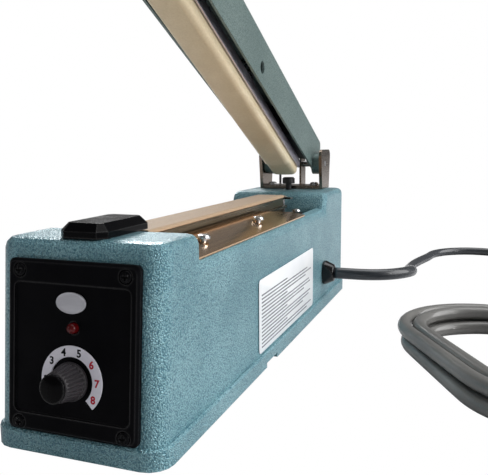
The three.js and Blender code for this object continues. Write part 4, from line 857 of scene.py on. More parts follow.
CASTING_PAINT = Hammered("casting_paint", metallic=0.35, bump=1.0, depth_mm=0.34,
                         coat=0.6, coat_roughness=0.12)
ARM_PAINT = Hammered("arm_paint", metallic=0.3, pool=tint(140, 158, 154),
                     body=tint(126, 145, 141), rim=tint(98, 118, 117), cells=1500.0, bump=0.4,
                     depth_mm=0.12, coat=0.3, coat_roughness=0.22)
BASE_STEEL = Moulded("base_steel", metallic=0.6, first=tint(52, 53, 56),
                     second=tint(40, 41, 43))
FOOT_RUBBER = Moulded("foot_rubber", "rubber", first=tint(32, 32, 33), second=tint(25, 25, 26), low=0.65,
                      high=0.85, bump=0.35)
PANEL_PLASTIC = Moulded("panel_plastic", first=tint(12, 12, 15), second=tint(7, 7, 10),
                        low=0.42, high=0.6, specular=0.04, bump=0.08, polish=6.0, coat_roughness=0.3)
PANEL_SCREW = Moulded("panel_screw", "screw_chrome", first=tint(14, 14, 17), second=tint(6, 6, 8),
                      drift=900.0, low=0.12, high=0.25, specular=0.06, polish=5.0, reach_mm=0.4)
SCREW_CHROME = Brushed("screw_chrome", metal=tint(226, 226, 226),
                       shade=tint(190, 190, 192), low=0.14, high=0.28)
LAMP_RED = Moulded("lamp_red", first=tint(104, 14, 18), second=tint(60, 6, 9), drift=260.0,
                   low=0.08, high=0.16, coat=0.2, coat_roughness=0.05, bump=0.05, specular=0.2)
DIAL_PRINT = Moulded("dial_print", first=tint(242, 240, 250), second=tint(230, 228, 240),
                     low=0.4, high=0.55)
DIAL_BLACK = Moulded("dial_black_ink", "dial_print", first=tint(16, 16, 24), second=tint(26, 26, 34),
                     low=0.5, high=0.6, specular=0.1)
DIAL_RED = Moulded("dial_red_ink", "dial_print", first=tint(196, 38, 60), second=tint(180, 30, 52),
                   low=0.5, high=0.6, specular=0.1)
BADGE = Brushed("badge_foil", "badge", metal=tint(208, 208, 214), shade=tint(176, 176, 184),
                metallic=0.35, along=(60.0, 900.0, 900.0), low=0.3, high=0.45)
POT_STEEL = Brushed("pot_steel", metal=tint(178, 178, 176), shade=tint(140, 140, 140))
KNOB_PLASTIC = Moulded("knob_plastic", first=tint(56, 53, 56), second=tint(38, 36, 38),
                       low=0.35, high=0.55, bump=0.25, specular=0.35)
KNOB_CAP = Moulded("knob_cap_gloss", "knob_cap", first=tint(9, 8, 10), second=tint(5, 5, 6), low=0.08,
                   high=0.18, specular=0.05, polish=12.0, reach_mm=1.2, coat_roughness=0.06)
SHAFT = Brushed("shaft_aluminium", metal=tint(204, 205, 206),
                shade=tint(170, 171, 172))
CIRCUIT = Moulded("circuit_board", first=tint(40, 92, 58), second=tint(30, 74, 48),
                  drift=400.0, low=0.3, high=0.45)
CAP_PLASTIC = Moulded("cap_plastic", first=tint(9, 9, 11), second=tint(5, 5, 7), low=0.08,
                      high=0.15, specular=0.06, bump=0.04, polish=4.0, coat_roughness=0.08)
# Dark warm olive metal and shade tones: painted reflection of the tan side plates, with painted shade of
# the bar's flank
BAR_ALUMINIUM_PAINTED_REFLECTION = Brushed("bar_aluminium", metal=tint(132, 118, 94),
                        shade=tint(108, 94, 72), along=(400.0, 8.0, 400.0))
RIBBON = Brushed("ribbon_nichrome", "ribbon", metal=tint(160, 150, 140), shade=tint(128, 118, 108),
                 low=0.3, high=0.45)
CLOTH = Woven("ptfe_cloth", thread=tint(190, 165, 138), between=tint(144, 118, 90),
              roughness=0.68, coat_roughness=0.4, bump=0.25, depth_mm=0.06)
# Warm tan metal and shade tones: painted reflection of the brown table and cloth in the polished plates
PLATE_STAINLESS_PAINTED_REFLECTION = Brushed("plate_stainless", metal=tint(248, 212, 172),
                          shade=tint(224, 186, 146), along=(500.0, 8.0, 500.0), low=0.1, high=0.18,
                          bump=0.05)
TERMINAL = Moulded("terminal_phenolic", "terminal_plastic", first=tint(44, 34, 30),
                   second=tint(32, 25, 22), drift=220.0, low=0.4, high=0.55)
CLAMP_STEEL = Brushed("clamp_steel", metal=tint(186, 186, 184), shade=tint(150, 150, 150))
# Brown and dark metal tones: painted reflection of the dark and brown surroundings in the chrome
BRACKET_CHROME_PAINTED_REFLECTION = Brushed("bracket_chrome", metal=tint(172, 156, 140),
                         shade=tint(92, 84, 78), low=0.15, high=0.3)
PIN_STEEL = Brushed("pin_steel", metal=tint(190, 190, 190), shade=tint(150, 150, 152),
                    along=(20.0, 900.0, 900.0))
SPRING_STEEL = Brushed("spring_steel", metal=tint(150, 150, 152),
                       shade=tint(104, 104, 108), along=(700.0, 700.0, 700.0))
CORE_STEEL = Brushed("core_laminations", "core_steel", metal=tint(96, 94, 92), shade=tint(58, 56, 54),
                     along=(2200.0, 12.0, 12.0), low=0.4, high=0.6)
ENAMEL_WIRE = Moulded("winding_enamel", "winding", metallic=0.7, first=tint(176, 96, 48),
                      second=tint(140, 70, 34), low=0.25, high=0.4, coat=0.4)
SWITCH_PLASTIC = Moulded("switch_phenolic", "switch_plastic", first=tint(30, 30, 32),
                         second=tint(22, 22, 24))
LABEL_PAPER = Moulded("label_film", "label", first=tint(246, 248, 250), second=tint(232, 236, 240),
                      drift=34.0, low=0.35, high=0.5, coat=0.1)
LABEL_INK = Moulded("label_ink", "label", first=tint(138, 140, 146), second=tint(96, 98, 106), low=0.5,
                    high=0.6)
HANDLE = Moulded("handle_plastic", first=tint(26, 27, 29), second=tint(19, 20, 22),
                 low=0.35, high=0.5, bump=0.35)
BLOCK = Moulded("block_plastic", first=tint(38, 40, 42), second=tint(28, 30, 32),
                low=0.4, high=0.55)
HOLDER_STEEL = Brushed("holder_steel", metal=tint(212, 206, 218),
                       shade=tint(184, 178, 190), low=0.3, high=0.45)
SILICONE = Moulded("silicone_rubber", "silicone", first=tint(232, 217, 186), second=tint(212, 193, 158),
                   drift=26.0, grain=900.0, low=0.3, high=0.42, bump=0.12)
STUD_STEEL = Brushed("stud_steel", metal=tint(170, 170, 170), shade=tint(132, 132, 134))
PLUNGER = Moulded("plunger_plastic", first=tint(28, 28, 30), second=tint(20, 20, 22))
LEVER_STEEL = Brushed("lever_steel", metal=tint(186, 186, 186), shade=tint(150, 150, 150))
# Dark vinyl that turns to paler tones along the coil: the paler tones are painted light
CORD_VINYL = PaintedLightFade("cord_vinyl", first=tint(46, 51, 57), second=tint(35, 39, 45),
                     drift=28.0, grain=1400.0, low=0.3, high=0.42, bump=0.2, coat=0.45)
RELIEF_RUBBER = Moulded("relief_rubber", first=tint(14, 14, 15), second=tint(8, 8, 9),
                        low=0.12, high=0.2, bump=0.1, polish=4.0, coat_roughness=0.08)
TIE_PLASTIC = Moulded("tie_plastic", "relief_rubber", first=tint(24, 24, 25), second=tint(18, 18, 19))
PLUG_VINYL = Moulded("plug_vinyl", "relief_rubber", first=tint(62, 64, 66), second=tint(48, 50, 52),
                     low=0.4, high=0.55, bump=0.3)
BLADE_BRASS = Brushed("blade_brass", metal=tint(206, 190, 148), shade=tint(180, 160, 116))


# The shop: puts pieces into the scene


class Shop:
    """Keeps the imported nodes, the shared effects and the finishes, and places every piece."""

    BEVEL_SEGMENTS = 2
    FACE_WEIGHT = 80

    def __init__(self, frame: dict) -> None:
        """Starts from the loaded frame.
        """
        self.nodes: dict[str, bpy.types.Object] = frame["nodes"]
        self.effects = Effects()
        self.materials: dict[str, bpy.types.Material] = {}
        self.weld = self._weld_group()

    @staticmethod
    def _weld_group() -> bpy.types.NodeTree:
        """A modifier group that joins a node's loose triangles and shades them smooth.

        Returns:
            The group.
        """
        group = bpy.data.node_groups.new("weld_and_smooth", "GeometryNodeTree")
        for way in ("INPUT", "OUTPUT"):
            group.interface.new_socket("Geometry", in_out=way, socket_type="NodeSocketGeometry")
        graph = Graph(group)
        joined = graph.node("NodeGroupInput").outputs[0]
        for kind, settings in (("GeometryNodeRemoveAttribute", {"Name": "custom_normal"}),
                               ("GeometryNodeMergeByDistance", {"Distance": WELD_WITHIN}),
                               ("GeometryNodeSetShadeSmooth", {"Shade Smooth": True})):
            joined = graph.node(kind, {"Geometry": joined, **settings}).outputs[0]
        graph.node("NodeGroupOutput", {0: joined})
        return group

    def material(self, finish: Finish) -> bpy.types.Material:
        """The finish's material, made the first time it is asked for.

        Args:
            finish: the finish.

        Returns:
            Its material.
        """
        if finish.name not in self.materials:
            self.materials[finish.name] = finish.build(self.effects)
        return self.materials[finish.name]

    def dress(self, node: str, finish: Finish, soften_mm: float = 0.3, angle: float = 32.0) -> None:
        """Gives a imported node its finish, smooth curved faces and softened edges.

        Args:
            node: the node's name.
            finish: its finish.
            soften_mm: the width of the bevel on its sharp edges.
            angle: edges sharper than this, in degrees, are bevelled.
        """
        piece = self.nodes[node]
        piece.data.materials.clear()
        piece.data.materials.append(self.material(finish))
        weld = piece.modifiers.new("weld", "NODES")
        weld.node_group = self.weld
        bevel = piece.modifiers.new("soften", "BEVEL")
        bevel.width = soften_mm * MM
        bevel.segments = self.BEVEL_SEGMENTS
        bevel.limit_method = "ANGLE"
        bevel.angle_limit = math.radians(angle)
        bevel.harden_normals = False
        bevel.use_clamp_overlap = True
        weighted = piece.modifiers.new("even_normals", "WEIGHTED_NORMAL")
        weighted.keep_sharp = False
        weighted.weight = self.FACE_WEIGHT
        LOG.info("dressed %s in %s", node, finish.name)

    def dress_all(self, finishes: dict[str, Finish], soften_mm: float = 0.3) -> None:
        """Dresses several nodes, each with its own finish."""
        for node, finish in finishes.items():
            self.dress(node, finish, soften_mm)

    def put(self, name: str, mesh: bpy.types.Mesh, finish: Finish, body: Body | None,
            replaces: tuple[str, ...] = ()) -> bpy.types.Object:
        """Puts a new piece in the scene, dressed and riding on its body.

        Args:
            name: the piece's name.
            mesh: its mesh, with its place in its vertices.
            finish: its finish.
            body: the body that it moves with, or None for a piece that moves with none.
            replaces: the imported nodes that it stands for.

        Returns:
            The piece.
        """
        piece = bpy.data.objects.new(name, mesh)
        bpy.context.scene.collection.objects.link(piece)
        mesh.materials.clear()
        mesh.materials.append(self.material(finish))
        if body:
            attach(piece, body.value)
        if replaces:
            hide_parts(*replaces)
        LOG.info("made %s, %d faces", name, len(mesh.polygons))
        return piece


# Sub-assemblies


@dataclass(frozen=True)
class CoilPlan:
    """The flat oval coil that the cord's spare length lies in, in its own frame on the table."""

    turns: int = 4
    pitch: float = 8.9
    radius: float = 52.0
    run: float = 72.0
    rise: float = 9.0
    tail: float = 26.0
    run_steps: int = 12
    bend_steps: int = 24
    run_share: float = 1 / 6
    bend_share: float = 1 / 3
    climb_turns: float = 0.5

    def turns_at(self, step: Array) -> Array:
        """How many turns are wound at a step: a straight run is a sixth of a turn, a bend a third.

        Args:
            step: step numbers along the coil.

        Returns:
            Turns, one for each step.
        """
        half = self.run_steps + self.bend_steps
        within = step % half
        run = np.minimum(within, self.run_steps) / self.run_steps * self.run_share
        bend = np.maximum(within - self.run_steps, 0) / self.bend_steps * self.bend_share
        return step // half / 2 + run + bend

    def path(self) -> Array:
        """The coil's centre line.

        Each turn is two straight runs and two half circles. The radius shrinks evenly by one pitch a
        turn to the middle of the coil and grows again after it, where the cord lies one layer higher.

        Returns:
            (n, 3) points in millimetres.
        """
        half = self.run_steps + self.bend_steps
        step = np.arange(2 * half * self.turns + self.run_steps + 1)
        wound = self.turns_at(step)
        last = self.turns + self.run_share
        radius = self.radius - self.pitch * np.minimum(wound, last - wound)
        rise = self.rise * np.clip((wound - last / 2) / self.climb_turns + 0.5, 0, 1)
        side = np.where(step % (2 * half) < half, 1.0, -1.0)
        within = step % half
        straight = within < self.run_steps
        along = self.run / 2 - self.run * within / self.run_steps
        turn = math.pi * (within - self.run_steps) / self.bend_steps
        x = np.where(straight, side * radius, side * radius * np.cos(turn))
        y = np.where(straight, side * along, side * (-self.run / 2 - radius * np.sin(turn)))
        tip = [self.radius, -self.run / 2 - self.tail, self.rise]
        return np.vstack([np.stack([x, y, rise], -1), tip])


@dataclass
class StrainRelief:
    """The tapered relief at the body's wall: a neck, a collar and a nose with two flats."""

    profile: tuple = ((25.5, 4.9), (38.4, 6.4), (38.5, 9.0), (40.0, 9.0), (45.9, 6.3), (46.3, 6.0),
                      (CORD_EXIT[0], 5.5))
    half: float = 6.3
    stations: int = 90
    sides: int = 72

    def build(self, shop: Shop) -> None:
        """Makes the relief: it is turned about x by the profile, and y is held between the two flats.

        Args:
            shop: puts the piece in the scene.
        """
        place, size = np.array(self.profile).T
        x = np.unique(np.concatenate([place, np.linspace(place[0], place[-1], self.stations)]))
        radius = np.interp(x, place, size)[:, None]
        turn = full_turn(self.sides)[None]
        y = CORD_EXIT[1] + np.clip(radius * np.cos(turn), -self.half, self.half)
        z = CORD_EXIT[2] + radius * np.sin(turn)
        rings = BODY_FRAME.place(np.stack([np.broadcast_to(x[:, None], y.shape), y, z], -1))
        shop.put("cord_relief", skin("cord_relief", rings), RELIEF_RUBBER, Body.BASE, ("strain_relief",))


@dataclass
class CoilTie:
    """The tie: a thin strap round the strands of one straight run of the coil."""

    coil: CoilPlan
    cord: float
    half_width: float = 3.5
    gap: float = 0.3
    thick: float = 0.6
    edge: float = 0.15

    def build(self, shop: Shop) -> bpy.types.Object:
        """Makes the tie: two rounded outlines, one a strap's thickness inside the other.

        Args:
            shop: puts the piece in the scene.

        Returns:
            The tie.
        """
        reach = self.coil.radius + self.cord + self.gap
        inner = self.coil.radius - self.coil.pitch * self.coil.turns / 2 - self.cord - self.coil.pitch / 4
        half, middle = 0.5 * (reach - inner), 0.5 * (reach + inner)
        low, high = -self.cord - self.gap, self.coil.rise + self.cord + self.gap
        outside = rounded_section(half + self.thick, low - self.thick, high + self.thick, self.cord)
        inside = rounded_section(half, low, high, self.cord - self.thick)
        narrow = self.half_width - self.edge
        loops = [(outside, -narrow), (outside, narrow), (inside, narrow), (inside, -narrow)]
        rings = np.stack([
            np.column_stack([loop[:, 0] + middle, np.full(len(loop), y), loop[:, 1]]) for loop, y in loops])
        mesh = skin("tie", COIL.place(rings), Wrap.BOTH, caps=False)
        return shop.put("coil_tie", mesh, TIE_PLASTIC, Body.BASE, ("cord_tie",))


@dataclass
class MainsPlug:
    """The moulded plug: a ribbed neck that grows out of the cord into a body with finger hollows."""

    coil: CoilPlan
    cord: float
    gap: float = 0.3
    neck: float = 18.0
    length: float = 34.0
    half_width: float = 13.0
    half_height: float = 14.1
    flare: float = 1.7
    swell_from: float = 12.0
    swell_length: float = 14.0
    rib_depth: float = 0.5
    rib_pitch: float = 3.2
    rib_fade_in: float = 3.0
    rib_end: float = 16.0
    rib_fade_out: float = 2.0
    grip_depth: float = 1.2
    grip_from: float = 27.0
    grip_length: float = 18.0
    end_round: float = 1.6
    end_share: float = 0.93
    squaring: float = 0.5
    stations: int = 90
    sides: int = 64

    def build(self, shop: Shop) -> bpy.types.Object:
        """Makes the plug.

        Each station is a superellipse: across = half width cos, up = half height sin, both to a
        power that squares the section as the body swells. The neck's radius dips by a squared sine at
        each rib, the body's width by a squared sine over the grip, and the end draws in by a quarter
        circle.

        Args:
            shop: puts the piece in the scene.

        Returns:
            The plug.
        """
        total = self.neck + self.length
        run = np.linspace(0, 1, self.stations) * total
        grow = ease(np.clip((run - self.swell_from) / self.swell_length, 0, 1))
        fade = np.clip(run / self.rib_fade_in, 0, 1)
        fade = fade * np.clip((self.rib_end - run) / self.rib_fade_out, 0, 1)
        neck = self.cord + self.flare * np.clip(run / self.neck, 0, 1)
        neck = neck - self.rib_depth * fade * np.sin(math.pi * run / self.rib_pitch) ** 2
        grip = np.sin(np.clip((run - self.grip_from) / self.grip_length, 0, 1) * math.pi) ** 2
        end = 1 - np.clip((total - run) / self.end_round, 0, 1)
        close = self.end_share + (1 - self.end_share) * np.sqrt(1 - end ** 2)
        half_x = (neck * (1 - grow) + (self.half_width - self.grip_depth * grip) * grow) * close
        half_z = (neck * (1 - grow) + self.half_height * grow) * close
        power = (1 - self.squaring * grow)[:, None]
        turn = full_turn(self.sides)[None]
        across, up = (np.sign(wave) * np.abs(wave) ** power for wave in (np.cos(turn), np.sin(turn)))
        x = self.coil.radius + half_x[:, None] * across
        z = self.coil.rise + half_z[:, None] * up
        start = -self.coil.run / 2 - self.coil.tail - self.gap
        y = np.repeat(start - run[:, None], self.sides, 1)
        mesh = skin("plug", COIL.place(np.stack([x, y, z], -1)))
        return shop.put("mains_plug", mesh, PLUG_VINYL, Body.BASE, ("power_plug",))


@dataclass
class MainsCord:
    """The cord: out of its relief, down to the table, back round and into the flat oval coil.

    The route's points are shares of how far the cord runs across, along and down.
    """

    radius: float = 4.2
    across: float = 150.0
    along: float = 306.6
    drop: float = 26.0
    route_shares: tuple = (
        (0.047, 0, 0), (0.09, 0, 0), (0.133, 0, 0), (0.179, 0.004, 0), (0.233, 0.015, 0.004),
        (0.281, 0.033, 0.008), (0.318, 0.056, 0.015), (0.341, 0.083, 0.035), (0.351, 0.114, 0.077),
        (0.347, 0.155, 0.154), (0.332, 0.202, 0.262), (0.311, 0.257, 0.404), (0.291, 0.319, 0.565),
        (0.273, 0.391, 0.723), (0.262, 0.463, 0.862), (0.257, 0.546, 0.958), (0.265, 0.627, 0.995),
        (0.295, 0.708, 1), (0.336, 0.79, 1), (0.367, 0.867, 1), (0.455, 0.93, 1), (0.582, 0.966, 1),
        (0.668, 0.972, 1), (0.754, 0.966, 1), (0.881, 0.93, 1), (0.969, 0.867, 1), (1, 0.79, 1),
        (1, 0.65, 1), (0.967, 0.48, 1), (0.91, 0.3, 1), (0.86, 0.16, 1), (0.845, 0.07, 1))
    lead_radii: float = 4.0
    step: float = 3.0
    sides: int = 20
    settle_rounds: int = 4
    # Where the coil's painted light comes in along the cord's run, in metres
    fade_start: float = 0.3
    fade_end: float = 0.7
    pins: tuple[str, ...] = ("plug_blade_left", "plug_blade_right", "ground_pin")
    coil: CoilPlan = CoilPlan()

    def route(self) -> Array:
        """The whole centre line from the relief to the plug.

        Returns:
            (n, 3) points in metres in the row frame.
        """
        start = np.array(CORD_EXIT)
        knots = start + np.array(self.route_shares) * np.array([self.across, self.along, -self.drop])
        coil = COIL.place(self.coil.path())
        lead = coil[0] + unit(coil[0] - coil[1]) * self.radius * self.lead_radii * MM
        free = np.vstack([BODY_FRAME.place(np.vstack([start, knots])), lead, coil[:1]])
        path = np.vstack([spline(free, self.step * MM)[:-1], coil])
        return settle(evenly(path, self.step * MM), self.settle_rounds)

    def build(self, shop: Shop) -> None:
        """Makes the cord, its relief, the tie and the plug with its pins.

        Args:
            shop: puts the pieces in the scene.
        """
        path = self.route()
        mesh = skin("mains_cord", tube_rings(path, self.radius * MM, self.sides, np.array([0.0, 0.0, 1.0])))
        cord = shop.put("mains_cord", mesh, CORD_VINYL, Body.BASE, ("power_cord", "cord_coil"))
        self.mark_painted_light(mesh, path)
        plug = MainsPlug(self.coil, self.radius).build(shop)
        StrainRelief().build(shop)
        tie = CoilTie(self.coil, self.radius).build(shop)
        shop.dress_all({pin: BLADE_BRASS for pin in self.pins})

    def mark_painted_light(self, mesh: bpy.types.Mesh, path: Array) -> None:
        """Marks how much painted light the vinyl carries: 0 up to fade_start metres of its run, 1 from
        fade_end on.

        Args:
            mesh: the cord, its rings in the path's order.
            path: the cord's centre line in metres.
        """
        share = (run_lengths(path) - self.fade_start) / (self.fade_end - self.fade_start)
        share = ease(np.clip(share, 0, 1))
        values = np.ones(len(mesh.vertices), np.float32)
        values[:len(path) * self.sides] = np.repeat(share, self.sides)
        mesh.attributes.new(PAINTED_LIGHT_SHARE, "FLOAT", "POINT").data.foreach_set("value", values)


@dataclass
class SideLabel:
    """The blank label on the body's right side, and its ruled lines."""

    x: float = 38.5
    front: float = -55.5
    rear: float = 61.5
    low: float = 10.0
    high: float = 50.8
    corner: float = 2.5
    thick: float = 0.3
    edge: float = 0.06
    face_share: float = 0.998
    rows: int = 15
    top_margin: float = 9.0
    foot_margin: float = 3.0
    side_margin: float = 4.0
    line_half: float = 0.42
    line_proud: float = 0.02
    line_thick: float = 0.04
    long_share: float = 0.78
    varied_share: float = 0.2
    varied_rate: float = 2.3
    short_share: float = 0.45
    short_every: int = 4

    def build(self, shop: Shop) -> None:
        """Makes the label and its lines."""
        self.build_sheet(shop)
        self.build_rules(shop)

    def build_sheet(self, shop: Shop) -> None:
        """The sheet: a rounded outline carried through its thickness, drawn in a little at its face.

        Args:
            shop: puts the piece in the scene.
        """
        section = rounded_section(0.5 * (self.rear - self.front), self.low, self.high, self.corner)
        section[:, 0] += 0.5 * (self.front + self.rear)
        centre = section.mean(axis=0)
        face = self.x + self.thick
        rings = np.stack([
            np.column_stack([np.full(len(section), x), centre + (section - centre) * share])
            for x, share in ((self.x, 1.0), (face - self.edge, 1.0), (face, self.face_share))])
        shop.put("side_label", skin("side_label", BODY_FRAME.place(rings)), LABEL_PAPER, Body.BASE,
                 ("rating_label",))

    def build_rules(self, shop: Shop) -> None:
        """The ruled lines: thin flat bars whose lengths follow a squared sine of the row's number.

        Every few rows a short one ends a paragraph.

        Args:
            shop: puts the piece in the scene.
        """
        rows = np.linspace(self.high - self.top_margin, self.low + self.foot_margin, self.rows)
        reach = self.long_share + self.varied_share * np.sin(np.arange(self.rows) * self.varied_rate) ** 2
        reach[::self.short_every] = self.short_share
        start = self.front + self.side_margin
        lengths = (self.rear - self.front - 2 * self.side_margin) * reach
        corner = np.array([[0, -1], [1, -1], [1, 1], [0, 1]], float)
        y = start + corner[None, :, 0] * lengths[:, None]
        z = rows[:, None] + corner[None, :, 1] * self.line_half
        face = self.x + self.thick + self.line_proud
        layers = [np.stack([np.full_like(y, x), y, z], -1) for x in (face - self.line_thick, face)]
        points = np.concatenate(layers, axis=1).reshape(-1, 3)
        sides = np.array([[3, 2, 1, 0], [4, 5, 6, 7], [0, 1, 5, 4], [1, 2, 6, 5], [2, 3, 7, 6],
                          [3, 0, 4, 7]])
        faces = (sides[None] + 8 * np.arange(self.rows)[:, None, None]).reshape(-1, 4)
        mesh = put_mesh("label_rules", BODY_FRAME.place(points), [faces], smooth=False)
        close_up(mesh)
        shop.put("label_rules", mesh, LABEL_INK, Body.BASE)


@dataclass
class BodyShell:
    """The cast body, its base plate, its feet and the blank label on its right side."""

    feet: tuple[str, ...] = ("rubber_foot_1", "rubber_foot_2", "rubber_foot_3", "rubber_foot_4")

    def build(self, shop: Shop) -> None:
        """Dresses the shell and makes the label.

        Args:
            shop: puts the pieces in the scene.
        """
        shop.dress("body_casting", CASTING_PAINT, soften_mm=0.5, angle=24.0)
        shop.dress("base_plate", BASE_STEEL)
        for foot in self.feet:
            shop.dress(foot, FOOT_RUBBER, soften_mm=0.5)
        SideLabel().build(shop)


@dataclass
class ControlPanel:
    """The black panel with its dial ring, printed numbers, lamp, blank badge and screws."""

    face: float = 2.5
    dial_inner: float = 9.5
    dial_outer: float = 13.9
    dial_thick: float = 0.5
    dial_bevel: float = 0.12
    dial_from: float = -46.0
    dial_to: float = 226.0
    dial_steps: int = 140
    digit_radius: float = 11.7
    digit_size: float = 4.2
    digit_half_thick: float = 0.04
    digit_bolder: float = 0.13
    digit_proud: float = 0.02
    digit_angles: tuple[float, ...] = (210.0, 182.0, 141.0, 108.0, 73.0, 39.0, 1.5, -32.0)
    first_red: int = 6
    badge_z: float = 53.6
    badge_half: tuple[float, float] = (6.8, 4.2)
    badge_profile: tuple = ((1.0, 0.0), (1.0, 0.5), (0.97, 0.62), (0.93, 0.62), (0.9, 0.52), (0.85, 0.5),
                            (0.6, 0.58), (0.3, 0.62), (0.02, 0.63))
    badge_sides: int = 64
    screws: tuple[str, ...] = ("panel_screw_1", "panel_screw_2", "panel_screw_3", "panel_screw_4")

    def build(self, shop: Shop) -> None:
        """Dresses the panel and makes the dial, the numbers and the badge.

        Args:
            shop: puts the pieces in the scene.
        """
        shop.dress("control_panel", PANEL_PLASTIC, soften_mm=0.35)
        for screw in self.screws:
            shop.dress(screw, PANEL_SCREW, soften_mm=0.15)
        shop.dress("indicator_lens", LAMP_RED, soften_mm=0.1)
        self.build_dial(shop)
        self.build_digits(shop)
        self.build_badge(shop)

    def build_dial(self, shop: Shop) -> None:
        """The dial ring: a flat band swept round the dial's centre, its section a bevelled bar.

        Args:
            shop: puts the piece in the scene.
        """
        turn = np.radians(np.linspace(self.dial_from, self.dial_to, self.dial_steps))[:, None]
        inner, outer, low, bevel = self.dial_inner, self.dial_outer, self.face, self.dial_bevel
        high = low + self.dial_thick
        section = np.array([[inner, low], [outer, low], [outer, high - bevel], [outer - bevel, high],
                            [inner + bevel, high], [inner, high - bevel]])
        x = DIAL_CENTRE[0] + section[None, :, 0] * np.cos(turn)
        z = DIAL_CENTRE[1] + section[None, :, 0] * np.sin(turn)
        y = np.repeat(section[None, :, 1], len(turn), 0)
        mesh = skin("dial_ring", PANEL.place(np.stack([x, y, z], -1)))
        mesh.polygons.foreach_set("use_smooth", np.zeros(len(mesh.polygons), bool))
        shop.put("dial_ring", mesh, DIAL_PRINT, Body.BASE, ("dial_scale",))

    def build_digits(self, shop: Shop) -> None:
        """The plain numbers 1 to 8 round the dial, the last three in red.

        Args:
            shop: puts the pieces in the scene.
        """
        for number, angle in enumerate(self.digit_angles, start=1):
            turn = math.radians(angle)
            x = DIAL_CENTRE[0] + self.digit_radius * math.cos(turn)
            z = DIAL_CENTRE[1] + self.digit_radius * math.sin(turn)
            mesh = self.digit_mesh(str(number), x, z)
            finish = DIAL_RED if number >= self.first_red else DIAL_BLACK
            shop.put(f"dial_number_{number}", mesh, finish, Body.BASE)

    def digit_mesh(self, text: str, x: float, z: float) -> bpy.types.Mesh:
        """One number as a thin solid on the dial ring.

        Args:
            text: the number.
            x: its middle across the panel.
            z: its middle up the panel.

        Returns:
            Its mesh in the row frame.
        """
        curve = bpy.data.curves.new(f"number_{text}", "FONT")
        curve.body = text
        curve.align_x = "CENTER"
        curve.align_y = "CENTER"
        curve.size = self.digit_size
        curve.extrude = self.digit_half_thick
        curve.offset = self.digit_bolder
        curve.resolution_u = 4
        holder = bpy.data.objects.new(f"number_{text}", curve)
        bpy.context.scene.collection.objects.link(holder)
        mesh = bpy.data.meshes.new_from_object(holder)
        bpy.data.objects.remove(holder)
        flat = vertex_places(mesh)
        middle = 0.5 * (flat.min(0) + flat.max(0))
        out = self.face + self.dial_thick + self.digit_proud
        local = np.column_stack([flat[:, 0] - middle[0] + x, flat[:, 2] + out, flat[:, 1] - middle[1] + z])
        mesh.vertices.foreach_set("co", PANEL.place(local).reshape(-1))
        close_up(mesh)
        return mesh

    def build_badge(self, shop: Shop) -> None:
        """The blank badge: an oval turned by a profile, a shallow dome inside a raised rim.

        Args:
            shop: puts the piece in the scene.
        """
        share, out = np.array(self.badge_profile).T[:, :, None]
        turn = full_turn(self.badge_sides)[None]
        x = self.badge_half[0] * share * np.cos(turn)
        z = self.badge_z + self.badge_half[1] * share * np.sin(turn)
        y = np.broadcast_to(self.face + out, x.shape)
        mesh = skin("badge", PANEL.place(np.stack([x, y, z], -1)))
        shop.put("badge_oval", mesh, BADGE, Body.BASE, ("badge_plate",))


@dataclass
class TimerKnob:
    """The ribbed timer knob with its cap, its shaft, the potentiometer and the timer board."""

    base_radius: float = 7.7
    nose_radius: float = 5.7
    back: float = 3.0
    front: float = 13.8
    skirt: float = 1.6
    edge: float = 0.15
    groove: float = 0.1
    grip_inset: float = 0.35
    grip_start: float = 0.25
    grip_stop: float = 0.9
    grip_stations: int = 24
    nose_curve: tuple = ((0.0, 0.6), (0.15, 0.25), (0.5, 0.0))
    pocket: float = 3.9
    pocket_depth: float = 1.3
    bore: float = 0.6
    hollow: float = 6.2
    hollow_depth: float = 2.8
    ribs: int = 24
    rib_depth: float = 0.55
    rib_start: float = 0.2
    rib_stop: float = 0.8
    points_per_rib: int = 10

    def build(self, shop: Shop) -> None:
        """Makes the ribbed knob and dresses what it turns on."""
        self.build_knob(shop)
        shop.dress_all({"knob_cap": KNOB_CAP, "timer_shaft": SHAFT, "potentiometer": POT_STEEL,
                        "timer_board": CIRCUIT}, soften_mm=0.2)

    def build_knob(self, shop: Shop) -> None:
        """The knob: a closed profile turned about the dial's centre, with flutes cut into the grip.

        The profile runs from the hollow behind, over the skirt, the groove and the tapering grip, round
        the nose and down into the cap's pocket and the bore.

        Args:
            shop: puts the piece in the scene.
        """
        base, nose, back, front = self.base_radius, self.nose_radius, self.back, self.front
        grip, pocket_floor = back + self.skirt, front - self.pocket_depth
        hollow_floor = back + self.hollow_depth
        heights = np.linspace(grip + self.grip_start, front - self.grip_stop, self.grip_stations)
        widest, narrowest = base - self.grip_inset, nose + self.edge
        taper = widest + (narrowest - widest) * (heights - grip) / (front - grip)
        profile = np.vstack([
            [[self.hollow, back], [base - self.edge, back], [base, back + self.edge],
             [base, grip - self.edge], [base - self.groove, grip],
             [base - 2 * self.groove, grip + self.rib_start]],
            np.column_stack([taper, heights]),
            [[nose - inward, front - short] for inward, short in self.nose_curve],
            [[self.pocket, front], [self.pocket, pocket_floor], [self.bore, pocket_floor],
             [self.bore, hollow_floor], [self.hollow, hollow_floor]],
        ])
        rings = turned_rings(profile, self.ribs * self.points_per_rib, PANEL, DIAL_CENTRE,
                             (self.ribs, self.rib_depth, grip + self.rib_start, front - self.rib_stop))
        mesh = skin("knob", rings, Wrap.BOTH, caps=False)
        shop.put("timer_knob_grip", mesh, KNOB_PLASTIC, Body.KNOB, ("timer_knob",))


